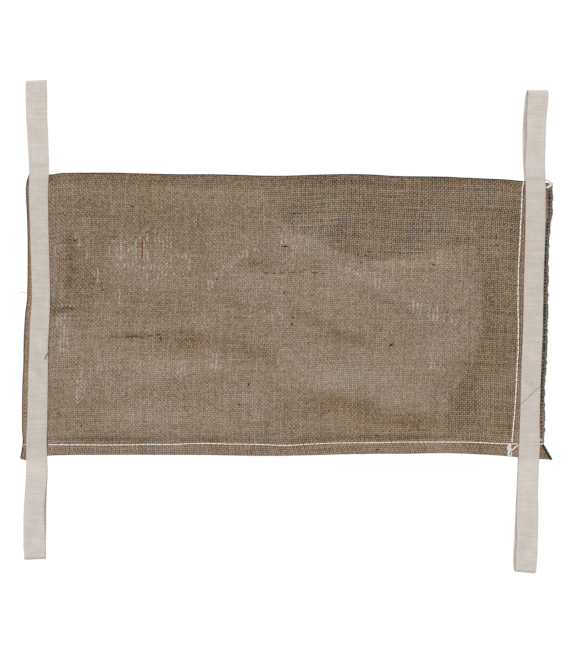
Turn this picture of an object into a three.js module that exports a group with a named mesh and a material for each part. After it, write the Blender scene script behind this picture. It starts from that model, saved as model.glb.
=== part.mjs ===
// Absorbent flood sack, dry and lying on its back: a hessian sack with a flat gel pouch inside it,
// carried by two loops of cotton webbing that run round it near its ends.
// Millimetres, +Z up. X runs along the sack, Y across it, towards the folded edge.
// The origin is on the floor under the middle of the sack.
import * as THREE from "three";

// Driving dimensions
const hemThickness = 2.4; // two layers of hessian sewn flat
const slackThickness = 3.6; // two loose layers with nothing between them
const pouchThickness = 4.2; // the dry pouch adds this much
const rimThickness = 3.0; // the rolled edge along the fold
const rimRound = 1.0; // how far the edge is rounded off in plan
const webbingWidth = 23; // on average; it is drawn in on the sack and spreads a little in the loops
const webbingThickness = 1.5;
const webbingBevel = 0.5; // the woven edge of the webbing
const loopGap = 5.6; // clear height inside a carrying loop
const clearance = 0.3; // between the webbing and the sack

// How far the cloth takes to rise to its full thickness, going inwards
const riseFromFold = 16;
const riseFromHemSeam = 16;
const riseFromSideSeam = 14;
const riseFromLeftEdge = { start: 38, end: 66 };
const riseToPouch = 28;
// Where the sack rises over the straps under its ends, as a share of its length from the middle
const endLift = { start: 0.388, end: 0.425 };

// Mesh steps
const stepsAlong = 94;
const stepsAcross = 52;
const strapSteps = 62;
const foldSteps = 8;

// The sack's outline. The folded edge is at the top, the sewn hem at the bottom.
const foldedEdge = [
  { x: -295, y: 161.4 },
  { x: -272, y: 162.2 },
  { x: -258, y: 164.0 },
  { x: -204, y: 164.6 },
  { x: -164, y: 163.6 },
  { x: -122, y: 162.8 },
  { x: -81, y: 162.7 },
  { x: -12, y: 161.0 },
  { x: 42, y: 162.5 },
  { x: 72, y: 163.0 },
  { x: 97, y: 162.4 },
  { x: 125, y: 160.8 },
  { x: 180, y: 160.0 },
  { x: 207, y: 158.7 },
  { x: 250, y: 156.8 },
  { x: 264, y: 155.4 },
  { x: 280, y: 153.7 },
  { x: 304, y: 152.5 },
];
const hemEdge = [
  { x: -306.3, y: -163.5 },
  { x: -298, y: -165.2 },
  { x: -275, y: -160.3 },
  { x: -214, y: -159.3 },
  { x: -100, y: -159.4 },
  { x: -60, y: -160.1 },
  { x: -20, y: -160.5 },
  { x: 25, y: -159.8 },
  { x: 60, y: -158.8 },
  { x: 100, y: -158.1 },
  { x: 138, y: -158.0 },
  { x: 180, y: -157.3 },
  { x: 221, y: -158.7 },
  { x: 248, y: -160.4 },
  { x: 290, y: -163.9 },
  { x: 304.6, y: -164.6 },
];
const turnedEdge = [
  { y: -163.5, x: -306.3 },
  { y: -146, x: -303.2 },
  { y: -128, x: -303.9 },
  { y: -85, x: -303.6 },
  { y: -57, x: -302.4 },
  { y: -25, x: -301.8 },
  { y: 5, x: -300.0 },
  { y: 20, x: -298.1 },
  { y: 74, x: -297.4 },
  { y: 114, x: -298.1 },
  { y: 135, x: -299.2 },
  { y: 152, x: -298.4 },
  { y: 161.4, x: -295 },
];
const selvedge = [
  { y: -164.6, x: 304.6 },
  { y: -147, x: 294.4 },
  { y: -138, x: 294.9 },
  { y: -75, x: 295.4 },
  { y: -55, x: 297.2 },
  { y: -20, x: 298.3 },
  { y: 30, x: 299.0 },
  { y: 73, x: 299.8 },
  { y: 100, x: 301.6 },
  { y: 120, x: 304.0 },
  { y: 152.5, x: 304 },
];

// The two sewn seams
const hemSeam = [
  { x: -306, y: -147.4 },
  { x: -262, y: -147.6 },
  { x: -185, y: -147.9 },
  { x: -158, y: -147.1 },
  { x: -135, y: -147.4 },
  { x: -97, y: -146.1 },
  { x: -60, y: -147.0 },
  { x: -28, y: -147.4 },
  { x: -2, y: -148.4 },
  { x: 26, y: -147.1 },
  { x: 54, y: -145.8 },
  { x: 95, y: -145.4 },
  { x: 140, y: -144.6 },
  { x: 190, y: -144.6 },
  { x: 220, y: -145.2 },
  { x: 246, y: -146.4 },
  { x: 304, y: -147.0 },
];
const sideSeam = [
  { y: -164, x: 255.6 },
  { y: -133, x: 259.0 },
  { y: -96, x: 261.8 },
  { y: -60, x: 263.8 },
  { y: -23, x: 265.2 },
  { y: 14, x: 264.8 },
  { y: 50, x: 265.2 },
  { y: 87, x: 267.1 },
  { y: 152, x: 270 },
];

// Where the pouch ends inside the sack
const pouchTop = [
  { x: -306, y: 149 },
  { x: -30, y: 148 },
  { x: -14, y: 128 },
  { x: 2, y: 104 },
  { x: 30, y: 90 },
  { x: 60, y: 76 },
  { x: 100, y: 66 },
  { x: 140, y: 70 },
  { x: 185, y: 80 },
  { x: 240, y: 82 },
];
const pouchEnd = [
  { y: -164, x: 176 },
  { y: -115, x: 183 },
  { y: -87, x: 191 },
  { y: -69, x: 205 },
  { y: -46, x: 220 },
  { y: -20, x: 228 },
  { y: 7, x: 227 },
  { y: 80, x: 220 },
];

// Soft folds in the cloth: a ridge or, with a negative height, a trough along a path of x, y points
const folds = [
  // round the turned corner of the pouch
  { halfWidth: 8, height: 1.4, path: [[-90, 27], [-85, 38], [-68, 55], [-48, 69], [-25, 77]] },
  { halfWidth: 11, height: -1.2, path: [[-47, 55], [-24, 62], [1, 62]] },
  { halfWidth: 8, height: -1.2, path: [[-40, 50], [3, 49], [35, 54], [58, 48]] },
  { halfWidth: 8, height: -1.6, path: [[-85, 26], [-70, 15], [-45, 8], [-10, 3]] },
  // the slanting trough in the middle and the one above it
  { halfWidth: 11, height: -2.2, path: [[-6, 6], [32, -8], [61, -24], [84, -33], [104, -38]] },
  { halfWidth: 8, height: -1.7, path: [[78, 30], [123, 10], [147, 1], [187, 1], [221, 3]] },
  // the sharp crease on the left and its soft run to the right
  { halfWidth: 8, height: -2.3, path: [[-206, -23], [-174, -23], [-138, -22]] },
  {
    halfWidth: 13,
    height: -1.8,
    path: [[-150, -24], [-105, -27], [-65, -35], [-29, -47], [1, -62], [17, -80]],
  },
  // tucks beside the left strap
  { halfWidth: 8, height: -1.7, path: [[-272, -8], [-264, 4], [-253, 10], [-234, 10]] },
  { halfWidth: 10, height: -1.6, path: [[-249, 112], [-248, 75], [-247, 48], [-254, 20]] },
  // the valley beyond the pouch's end
  {
    halfWidth: 10,
    height: -1.2,
    path: [[231, 76], [232, 20], [230, -16], [219, -56], [207, -85], [192, -119], [182, -138]],
  },
  // along the hem
  {
    halfWidth: 11,
    height: -1.2,
    path: [[-219, -112], [-185, -100], [-157, -87], [-128, -78], [-86, -73], [-47, -76]],
  },
  {
    halfWidth: 16,
    height: -1.5,
    path: [[3, -93], [38, -96], [72, -103], [112, -118], [152, -127], [187, -132]],
  },
  { halfWidth: 8, height: -1.2, path: [[-22, -103], [-21, -135]] },
  { halfWidth: 8, height: -1.0, path: [[168, -55], [207, -54]] },
  // swells
  { halfWidth: 24, height: 1.3, path: [[-214, 58], [-174, 62], [-140, 55]] },
  { halfWidth: 20, height: 1.0, path: [[72, 50], [124, 30], [175, -16]] },
  { halfWidth: 20, height: 1.3, path: [[-226, -56], [-157, -57], [-94, -55]] },
  { halfWidth: 22, height: 1.3, path: [[104, -68], [152, -50], [189, -33]] },
  { halfWidth: 16, height: 1.0, path: [[-203, -125], [-134, -117], [-54, -119]] },
];

// The straps: the front leg's middle line and width, how far the back leg lies to one side of it,
// and how far each end slants, as a share of the way across
const straps = [
  {
    name: "strap_left",
    route: [
      { y: -279, x: -288.4, width: 24.4 },
      { y: -262, x: -289.2, width: 24.8 },
      { y: -239, x: -289.6, width: 24.2 },
      { y: -216, x: -289.4, width: 23.3 },
      { y: -182, x: -286.8, width: 24.2 },
      { y: -147, x: -287.0, width: 23.6 },
      { y: -120, x: -286.1, width: 23 },
      { y: -65, x: -285.0, width: 22.6 },
      { y: -37, x: -284.5, width: 21.5 },
      { y: -10, x: -283.4, width: 22 },
      { y: 18, x: -281.9, width: 21 },
      { y: 59, x: -282.6, width: 21 },
      { y: 100, x: -283.7, width: 21.2 },
      { y: 141, x: -284.6, width: 22.2 },
      { y: 165, x: -284.0, width: 22.6 },
      { y: 184, x: -284.4, width: 23.2 },
      { y: 207, x: -285.4, width: 24 },
      { y: 230, x: -286.5, width: 24.2 },
      { y: 253, x: -286.9, width: 24.6 },
      { y: 270.2, x: -287.1, width: 24 },
    ],
    aside: [
      { y: -279, x: -0.2 },
      { y: -262, x: 0.0 },
      { y: -239, x: 1.2 },
      { y: -216, x: 1.6 },
      { y: -195, x: 0.3 },
      { y: -165, x: -0.2 },
      { y: 165, x: -0.5 },
      { y: 195, x: -0.7 },
      { y: 270.2, x: -0.7 },
    ],
    slant: { bottom: 0.045, top: 0.06 },
  },
  {
    name: "strap_right",
    route: [
      { y: -294, x: 273.2, width: 23.4 },
      { y: -278, x: 274.2, width: 24.4 },
      { y: -256, x: 275.1, width: 24.2 },
      { y: -228, x: 275.4, width: 24.6 },
      { y: -193, x: 275.8, width: 23.6 },
      { y: -147, x: 277.9, width: 24 },
      { y: -120, x: 278.2, width: 22.6 },
      { y: -65, x: 279.7, width: 22.7 },
      { y: -10, x: 281.8, width: 22.6 },
      { y: 45, x: 282.9, width: 22.6 },
      { y: 86, x: 284.2, width: 22.8 },
      { y: 127, x: 284.9, width: 23.2 },
      { y: 155, x: 284.7, width: 23.2 },
      { y: 173, x: 284.0, width: 23 },
      { y: 201, x: 285.2, width: 21.8 },
      { y: 224, x: 285.7, width: 22.4 },
      { y: 247, x: 287.4, width: 23.4 },
      { y: 259, x: 288.2, width: 23 },
    ],
    aside: [
      { y: -294, x: -1.3 },
      { y: -278, x: -2.5 },
      { y: -256, x: -2.3 },
      { y: -228, x: -1.2 },
      { y: -193, x: -0.4 },
      { y: -165, x: -0.4 },
      { y: 155, x: -0.8 },
      { y: 173, x: -1.6 },
      { y: 201, x: -4.0 },
      { y: 224, x: -3.7 },
      { y: 247, x: -2.9 },
      { y: 259, x: -2.0 },
    ],
    slant: { bottom: -0.09, top: 0 },
  },
];

const hessian = new THREE.MeshStandardMaterial({ color: 0x8c7a68, roughness: 0.95, metalness: 0 });
const cotton = new THREE.MeshStandardMaterial({ color: 0xcfc7be, roughness: 0.9, metalness: 0 });

const { clamp, lerp } = THREE.MathUtils;
const ramp = (value, start, end) => THREE.MathUtils.smoothstep(value, start, end);

// A smooth curve through a table's rows: the value column as a function of the key column
function curveThrough(rows, key, value) {
  const slopeAt = rows.map((row, i) => {
    const before = rows[Math.max(i - 1, 0)];
    const after = rows[Math.min(i + 1, rows.length - 1)];
    return (after[value] - before[value]) / (after[key] - before[key]);
  });
  return (at) => {
    const last = rows.length - 2;
    const found = rows.findIndex((row, i) => i <= last && at <= rows[i + 1][key]);
    const i = found < 0 ? last : found;
    const span = rows[i + 1][key] - rows[i][key];
    const t = clamp((at - rows[i][key]) / span, 0, 1);
    const start = rows[i][value];
    const rise = rows[i + 1][value] - start;
    const [slopeIn, slopeOut] = [slopeAt[i] * span, slopeAt[i + 1] * span];
    const bend = 3 * rise - 2 * slopeIn - slopeOut;
    const twist = slopeIn + slopeOut - 2 * rise;
    return start + t * (slopeIn + t * (bend + t * twist));
  };
}

const foldedY = curveThrough(foldedEdge, "x", "y");
const hemY = curveThrough(hemEdge, "x", "y");
const turnedX = curveThrough(turnedEdge, "y", "x");
const selvedgeX = curveThrough(selvedge, "y", "x");
const hemSeamY = curveThrough(hemSeam, "x", "y");
const sideSeamX = curveThrough(sideSeam, "y", "x");
const pouchTopY = curveThrough(pouchTop, "x", "y");
const pouchEndX = curveThrough(pouchEnd, "y", "x");

const ends = (rows) => [rows[0], rows[rows.length - 1]];

// A point of the sack in plan, blended from its four edges: u runs along it, v from the hem to the fold
function sackPlan(u, v) {
  const [hemLeft, hemRight] = ends(hemEdge);
  const [foldLeft, foldRight] = ends(foldedEdge);
  const hemX = lerp(hemLeft.x, hemRight.x, u);
  const foldX = lerp(foldLeft.x, foldRight.x, u);
  const leftY = lerp(hemLeft.y, foldLeft.y, v);
  const rightY = lerp(hemRight.y, foldRight.y, v);
  const cornersX = lerp(hemX, foldX, v);
  const cornersY = lerp(lerp(hemLeft.y, hemRight.y, u), lerp(foldLeft.y, foldRight.y, u), v);
  return new THREE.Vector2(
    lerp(hemX, foldX, v) + lerp(turnedX(leftY), selvedgeX(rightY), u) - cornersX,
    lerp(hemY(hemX), foldedY(foldX), v) + lerp(leftY, rightY, u) - cornersY,
  );
}

// The nearest place on a path of straight legs: how far off it is, and how far along, from 0 to 1
function nearestOnPath(path, x, y) {
  const corners = path.map(([cornerX, cornerY]) => new THREE.Vector2(cornerX, cornerY));
  const lengths = corners.slice(1).map((corner, n) => corner.distanceTo(corners[n]));
  const whole = lengths.reduce((sum, length) => sum + length, 0);
  let passed = 0;
  let nearest = { away: Infinity, place: 0 };
  lengths.forEach((length, n) => {
    const leg = corners[n + 1].clone().sub(corners[n]);
    const from = new THREE.Vector2(x, y).sub(corners[n]);
    const share = clamp(from.dot(leg) / leg.lengthSq(), 0, 1);
    const away = from.addScaledVector(leg, -share).length();
    if (away < nearest.away) nearest = { away, place: (passed + share * length) / whole };
    passed += length;
  });
  return nearest;
}

// The sum of the folds at a point, each one rounded across and fading towards both ends
function foldHeight(x, y) {
  return folds.reduce((sum, fold) => {
    const { away, place } = nearestOnPath(fold.path, x, y);
    const across = Math.min(away / fold.halfWidth, 1);
    const fade = ramp(place, 0, 0.2) * ramp(1 - place, 0, 0.2);
    return sum + fold.height * (1 - across * across) ** 2 * fade;
  }, 0);
}

// How far the sack stands off the floor where the straps pass under its ends
const liftAt = (u) => (webbingThickness + clearance) * ramp(Math.abs(u - 0.5), endLift.start, endLift.end);

// The sack's thickness: flat at the sewn edges, fuller over the pouch
function thicknessAt(x, y) {
  const insideSeams = ramp(y - hemSeamY(x), 0, riseFromHemSeam) * ramp(sideSeamX(y) - x, 0, riseFromSideSeam);
  const awayFromFold = ramp(foldedY(x) - y, 0, riseFromFold);
  const awayFromLeft = ramp(x - turnedX(y), riseFromLeftEdge.start, riseFromLeftEdge.end);
  const overPouch = ramp(pouchTopY(x) - y, 0, riseToPouch) * ramp(pouchEndX(y) - x, 0, riseToPouch);
  const loose = lerp(rimThickness, slackThickness, awayFromFold);
  const filled = loose + (pouchThickness * overPouch + foldHeight(x, y)) * awayFromFold * awayFromLeft;
  return lerp(hemThickness, filled, insideSeams);
}

// A closed triangle mesh from points and index triples
function solidFrom(points, triangles) {
  const geometry = new THREE.BufferGeometry().setFromPoints(points);
  geometry.setIndex(triangles.flat());
  geometry.computeVertexNormals();
  return geometry;
}

// Two triangles across a strip between two neighbouring pairs of points
const quad = (a, b, c, d) => [
  [a, b, c],
  [a, c, d],
];

// The sack: a grid of heights over its plan, a rounded rim, and an underside that lies flat on the floor
function makeSack() {
  const points = [];
  const triangles = [];
  const rowLength = stepsAlong + 1;
  const gridIndex = (i, j) => j * rowLength + i;
  for (let j = 0; j <= stepsAcross; j++) {
    for (let i = 0; i <= stepsAlong; i++) {
      const u = i / stepsAlong;
      const plan = sackPlan(u, j / stepsAcross);
      points.push(new THREE.Vector3(plan.x, plan.y, liftAt(u) + thicknessAt(plan.x, plan.y)));
      if (i && j) {
        const [below, here] = [gridIndex(i, j - 1), gridIndex(i, j)];
        triangles.push(...quad(below - 1, below, here, here - 1));
      }
    }
  }

  // The rim, walked anticlockwise seen from above
  const rim = [];
  for (let i = 0; i < stepsAlong; i++) rim.push({ i, j: 0, outX: 0, outY: -1 });
  for (let j = 0; j < stepsAcross; j++) rim.push({ i: stepsAlong, j, outX: 1, outY: 0 });
  for (let i = stepsAlong; i > 0; i--) rim.push({ i, j: stepsAcross, outX: 0, outY: 1 });
  for (let j = stepsAcross; j > 0; j--) rim.push({ i: 0, j, outX: -1, outY: 0 });
  const middleStart = points.length;
  const underStart = middleStart + rim.length;
  const inset = (spot, at) => {
    points[at].x -= spot.outX * rimRound;
    points[at].y -= spot.outY * rimRound;
  };
  for (const spot of rim) {
    const edge = points[gridIndex(spot.i, spot.j)];
    const floor = liftAt(spot.i / stepsAlong);
    points.push(new THREE.Vector3(edge.x, edge.y, (edge.z + floor) / 2));
  }
  for (const spot of rim) {
    const edge = points[gridIndex(spot.i, spot.j)];
    points.push(new THREE.Vector3(edge.x, edge.y, liftAt(spot.i / stepsAlong)));
  }
  rim.forEach((spot, n) => {
    inset(spot, gridIndex(spot.i, spot.j));
    inset(spot, underStart + n);
  });
  rim.forEach((spot, n) => {
    const next = (n + 1) % rim.length;
    const top = gridIndex(spot.i, spot.j);
    const topNext = gridIndex(rim[next].i, rim[next].j);
    triangles.push(...quad(top, middleStart + n, middleStart + next, topNext));
    triangles.push(...quad(middleStart + n, underStart + n, underStart + next, middleStart + next));
  });

  // The underside: one strip for each step along the sack, and a fan at each end
  const underHem = (i) => underStart + i;
  const underRight = (j) => underStart + stepsAlong + j;
  const underFold = (i) => underStart + stepsAlong + stepsAcross + (stepsAlong - i);
  const underLeft = (j) => underStart + ((2 * stepsAlong + stepsAcross + (stepsAcross - j)) % rim.length);
  for (let i = 1; i < stepsAlong - 1; i++) {
    triangles.push(...quad(underHem(i), underFold(i), underFold(i + 1), underHem(i + 1)));
  }
  const half = stepsAcross / 2;
  for (let j = 0; j < stepsAcross; j++) {
    const nearLeft = j < half ? underHem(1) : underFold(1);
    const nearRight = j < half ? underHem(stepsAlong - 1) : underFold(stepsAlong - 1);
    triangles.push([underLeft(j), underLeft(j + 1), nearLeft]);
    triangles.push([underRight(j + 1), underRight(j), nearRight]);
  }
  triangles.push([underLeft(half), underFold(1), underHem(1)]);
  triangles.push([underRight(half), underHem(stepsAlong - 1), underFold(stepsAlong - 1)]);
  return solidFrom(points, triangles);
}

// The height that the webbing lies at over the sack: the highest of the cloth under and close beside it
function seatHeight(x, y) {
  const reach = webbingWidth / 2 + 8.5; // also clears the cloth that rises beside the webbing
  const spots = [-1, -0.5, 0, 0.5, 1];
  const heights = spots.flatMap((across) =>
    spots.map((along) => {
      const [atX, atY] = [x + across * reach, y + along * 9];
      const onSack = atY > hemY(atX) && atY < foldedY(atX);
      return onSack ? thicknessAt(atX, atY) : 0;
    }),
  );
  return webbingThickness + clearance + Math.max(...heights) + clearance;
}

// One strap: a closed band of webbing, up the front, round a fold, down the back and round a second fold
function makeStrap({ route, aside, slant }) {
  const frontX = curveThrough(route, "y", "x");
  const widthAt = curveThrough(route, "y", "width");
  const asideX = curveThrough(aside, "y", "x");
  const [bottom, top] = ends(route);
  const half = webbingThickness / 2;
  const foldRadius = (loopGap + webbingThickness) / 2;
  const loopHeight = half + 2 * foldRadius;
  const [bottomTurn, topTurn] = [bottom.y + foldRadius + half, top.y - foldRadius - half];
  const backX = (y) => frontX(y) + asideX(y);
  const slantReach = 30; // the slant of each end dies out over this length
  const slantAt = (y) =>
    slant.bottom * (1 - ramp(y, bottomTurn, bottomTurn + slantReach)) +
    slant.top * ramp(y, topTurn - slantReach, topTurn);
  const bendReach = 20; // the leg bends this far outside the sack, between its seat and the loop
  const frontZ = (y) => {
    const x = frontX(y);
    const [hem, fold] = [hemY(x), foldedY(x)];
    const overSack = ramp(y, hem - bendReach, hem) * (1 - ramp(y, fold, fold + bendReach));
    const seat = seatHeight(x, clamp(y, hem + 6, fold - 6)) + half;
    return lerp(loopHeight, seat, overSack);
  };

  const middle = [];
  for (let n = 0; n <= strapSteps; n++) {
    const y = lerp(bottomTurn, topTurn, n / strapSteps);
    middle.push(new THREE.Vector3(frontX(y), y, frontZ(y)));
  }
  const addTurn = (turnY, outwards) => {
    for (let n = 1; n < foldSteps; n++) {
      const share = n / foldSteps;
      const angle = Math.PI * share;
      const fromFront = outwards > 0 ? share : 1 - share;
      middle.push(
        new THREE.Vector3(
          lerp(frontX(turnY), backX(turnY), fromFront),
          turnY + outwards * foldRadius * Math.sin(angle),
          half + foldRadius + outwards * foldRadius * Math.cos(angle),
        ),
      );
    }
  };
  addTurn(topTurn, 1);
  for (let n = strapSteps; n >= 0; n--) {
    const y = lerp(bottomTurn, topTurn, n / strapSteps);
    middle.push(new THREE.Vector3(backX(y), y, half));
  }
  addTurn(bottomTurn, -1);

  // The webbing's section, with a thinner woven edge, carried round the middle line
  const flat = webbingWidth / 2 - webbingBevel;
  const section = [
    { across: -webbingWidth / 2, out: 0 },
    { across: -flat, out: -half },
    { across: flat, out: -half },
    { across: webbingWidth / 2, out: 0 },
    { across: flat, out: half },
    { across: -flat, out: half },
  ];
  const points = [];
  const triangles = [];
  middle.forEach((spot, n) => {
    const before = middle[(n + middle.length - 1) % middle.length];
    const after = middle[(n + 1) % middle.length];
    const run = Math.hypot(after.y - before.y, after.z - before.z);
    const [outY, outZ] = [-(after.z - before.z) / run, (after.y - before.y) / run];
    section.forEach((corner, k) => {
      const across = corner.across * (widthAt(spot.y) / webbingWidth);
      points.push(
        new THREE.Vector3(
          spot.x + across,
          spot.y + corner.out * outY + corner.across * slantAt(spot.y),
          spot.z + corner.out * outZ,
        ),
      );
      const nextRing = ((n + 1) % middle.length) * section.length;
      const nextCorner = (k + 1) % section.length;
      const ring = n * section.length;
      triangles.push(...quad(ring + k, nextRing + k, nextRing + nextCorner, ring + nextCorner));
    });
  });
  return solidFrom(points, triangles);
}

const floodSack = new THREE.Group();
const sack = new THREE.Mesh(makeSack(), hessian);
sack.name = "jute_sack";
floodSack.add(sack);
for (const strap of straps) {
  const band = new THREE.Mesh(makeStrap(strap), cotton);
  band.name = strap.name;
  floodSack.add(band);
}

export default floodSack;
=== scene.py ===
import math

import bpy
import numpy as np
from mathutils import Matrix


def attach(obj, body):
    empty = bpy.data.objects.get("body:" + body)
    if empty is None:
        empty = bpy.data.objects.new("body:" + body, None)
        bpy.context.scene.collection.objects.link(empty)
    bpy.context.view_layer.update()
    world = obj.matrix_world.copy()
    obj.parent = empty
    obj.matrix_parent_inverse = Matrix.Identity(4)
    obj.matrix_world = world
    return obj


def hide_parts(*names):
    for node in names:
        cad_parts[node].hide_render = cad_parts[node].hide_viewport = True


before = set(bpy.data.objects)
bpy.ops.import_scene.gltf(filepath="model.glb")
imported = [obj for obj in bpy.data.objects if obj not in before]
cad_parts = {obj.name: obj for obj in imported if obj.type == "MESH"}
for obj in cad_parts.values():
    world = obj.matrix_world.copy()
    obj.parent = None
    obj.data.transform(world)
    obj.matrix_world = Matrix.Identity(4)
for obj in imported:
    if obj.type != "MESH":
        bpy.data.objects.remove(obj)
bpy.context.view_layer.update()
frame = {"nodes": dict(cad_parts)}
mm = 0.001
dice = np.random.default_rng(41)
print("frame loaded:", ", ".join(frame["nodes"]))


# Camera straight above the sack, far off with a long lens

cameraView = {
    "mmPerPixel": 1.145,
    "framePixels": (568, 649),
    "sackMiddlePixel": (287, 316),  # the frame's origin in the photo
    "distance": 2.6,
    "sackTop": 0.007,
}


def placeCamera(look):
    pixel = look["mmPerPixel"] * mm
    data = bpy.data.cameras.new("aboveCamera")
    data.sensor_fit = "VERTICAL"
    data.sensor_height = 36.0
    data.lens = data.sensor_height * look["distance"] / (look["framePixels"][1] * pixel)
    camera = bpy.data.objects.new("aboveCamera", data)
    offX = (look["framePixels"][0] / 2 - look["sackMiddlePixel"][0]) * pixel
    offY = (look["sackMiddlePixel"][1] - look["framePixels"][1] / 2) * pixel
    camera.location = (offX, offY, look["distance"] + look["sackTop"])
    bpy.context.scene.collection.objects.link(camera)
    bpy.context.scene.camera = camera


placeCamera(cameraView)
print("camera placed")


# Shape helpers

def curveThrough(rows, at):
    # cubic through (key, value) rows; each slope is taken between a row's neighbours
    key, value = np.array(rows, float).T
    low = np.maximum(np.arange(len(key)) - 1, 0)
    high = np.minimum(np.arange(len(key)) + 1, len(key) - 1)
    slope = (value[high] - value[low]) / (key[high] - key[low])
    at = np.asarray(at, float)
    i = np.clip(np.searchsorted(key, at) - 1, 0, len(key) - 2)
    span = key[i + 1] - key[i]
    t = np.clip((at - key[i]) / span, 0, 1)
    rise = value[i + 1] - value[i]
    slopeIn, slopeOut = slope[i] * span, slope[i + 1] * span
    square = 3 * rise - 2 * slopeIn - slopeOut
    cube = slopeIn + slopeOut - 2 * rise
    return value[i] + t * (slopeIn + t * (square + t * cube))


def ramp(value, start, end):
    # 0 before start, 1 after end, an S curve between
    t = np.clip((np.asarray(value, float) - start) / (end - start), 0, 1)
    return t * t * (3 - 2 * t)


def blend(a, b, t):
    return a + (b - a) * t


def pathDistance(x, y, path):
    # least distance to a path of straight legs, and how far along the path that is, from 0 to 1
    path = np.array(path, float)
    start, leg = path[:-1], np.diff(path, axis=0)
    length = np.hypot(leg[:, 0], leg[:, 1])
    fromX, fromY = x[..., None] - start[:, 0], y[..., None] - start[:, 1]
    along = np.clip((fromX * leg[:, 0] + fromY * leg[:, 1]) / length ** 2, 0, 1)
    away = np.hypot(fromX - along * leg[:, 0], fromY - along * leg[:, 1])
    place = (np.cumsum(length) - length + along * length) / length.sum()
    nearest = away.argmin(axis=-1)[..., None]
    return np.take_along_axis(away, nearest, -1)[..., 0], np.take_along_axis(place, nearest, -1)[..., 0]


def softNoise(x, y, cell, seed):
    # smooth lumps from -1 to 1: random corner values on a lattice, blended by S curves
    lattice = np.random.default_rng(seed).uniform(-1, 1, (256, 256))
    px, py = x / cell + 128, y / cell + 128
    i, j = np.floor(px).astype(int), np.floor(py).astype(int)
    tx, ty = ramp(px - i, 0, 1), ramp(py - j, 0, 1)
    low = blend(lattice[i % 256, j % 256], lattice[(i + 1) % 256, j % 256], tx)
    high = blend(lattice[i % 256, (j + 1) % 256], lattice[(i + 1) % 256, (j + 1) % 256], tx)
    return blend(low, high, ty)


def gridQuads(index, wrapAcross=False, wrapAlong=False):
    # quads between neighbouring rows and columns of an index grid
    if wrapAlong:
        index = np.concatenate([index, index[:1]], axis=0)
    if wrapAcross:
        index = np.concatenate([index, index[:, :1]], axis=1)
    corners = (index[:-1, :-1], index[:-1, 1:], index[1:, 1:], index[1:, :-1])
    return np.stack(corners, axis=-1).reshape(-1, 4)


def addPiece(name, points, quads, finish, slot, loopUv=None, tone=None):
    # one mesh object in metres, smooth, with its weave map and tone attribute where it has them
    mesh = bpy.data.meshes.new(name)
    mesh.from_pydata(np.asarray(points).reshape(-1, 3).tolist(), [], np.asarray(quads).tolist())
    mesh.polygons.foreach_set("use_smooth", np.ones(len(mesh.polygons), bool))
    if loopUv is not None:
        layer = mesh.uv_layers.new(name="weave")
        layer.data.foreach_set("uv", np.asarray(loopUv, np.float32).ravel())
    if tone is not None:
        layer = mesh.attributes.new("tone", "FLOAT_COLOR", "POINT")
        layer.data.foreach_set("color", np.asarray(tone, np.float32).ravel())
    mesh.materials.append(finish)
    mesh.update()
    piece = bpy.data.objects.new(name, mesh)
    bpy.context.scene.collection.objects.link(piece)
    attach(piece, "root")
    return piece


def tubeRuns(centres, radius, sides, up=(0, 0, 1)):
    # round tubes: each run of centres carries a circle square to its own direction; flat caps close the ends
    centres = np.asarray(centres, float)
    runs, rings = centres.shape[:2]
    radius = np.broadcast_to(radius, (runs, rings))[:, :, None, None]
    along = np.gradient(centres, axis=1)
    along /= np.linalg.norm(along, axis=2, keepdims=True)
    side = np.cross(along, np.asarray(up, float))
    side /= np.linalg.norm(side, axis=2, keepdims=True)
    over = np.cross(side, along)
    turn = np.arange(sides) * 2 * np.pi / sides
    circle = np.cos(turn)[:, None] * side[:, :, None] + np.sin(turn)[:, None] * over[:, :, None]
    points = centres[:, :, None] + radius * circle
    index = np.arange(runs * rings * sides).reshape(runs, rings, sides)
    wall = [gridQuads(run, wrapAcross=True) for run in index]
    fans = [[0, 1, 2, 3], [0, 3, 4, 5]][:sides // 2 - 1]  # a cap of four or six corners
    caps = [end for fan in fans for end in (index[:, 0][:, fan[::-1]], index[:, -1][:, fan])]
    return points.reshape(-1, 3), np.concatenate([*wall, *caps])


def joinParts(parts):
    # several (points, quads) parts as one, each part's quads counted on from the points before it
    allPoints, allQuads = zip(*parts)
    starts = np.cumsum([0] + [len(points) for points in allPoints[:-1]])
    quads = [quads + start for quads, start in zip(allQuads, starts)]
    return np.concatenate(allPoints), np.concatenate(quads)


# Shader helpers: a Wire is a socket that can be used in sums, and a Finish is one material

class Wire:
    def __init__(self, finish, socket):
        self.finish, self.socket = finish, socket

    def op(self, operation, *terms):
        return self.finish.node("ShaderNodeMath", {"operation": operation}, dict(enumerate(terms)))

    def __add__(self, other): return self.op("ADD", self, other)
    def __radd__(self, other): return self.op("ADD", other, self)
    def __sub__(self, other): return self.op("SUBTRACT", self, other)
    def __rsub__(self, other): return self.op("SUBTRACT", other, self)
    def __mul__(self, other): return self.op("MULTIPLY", self, other)
    def __rmul__(self, other): return self.op("MULTIPLY", other, self)
    def __truediv__(self, other): return self.op("DIVIDE", self, other)
    def __rtruediv__(self, other): return self.op("DIVIDE", other, self)
    def __mod__(self, other): return self.op("FLOORED_MODULO", self, other)
    def __gt__(self, other): return self.op("GREATER_THAN", self, other)
    def __lt__(self, other): return self.op("LESS_THAN", self, other)


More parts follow.
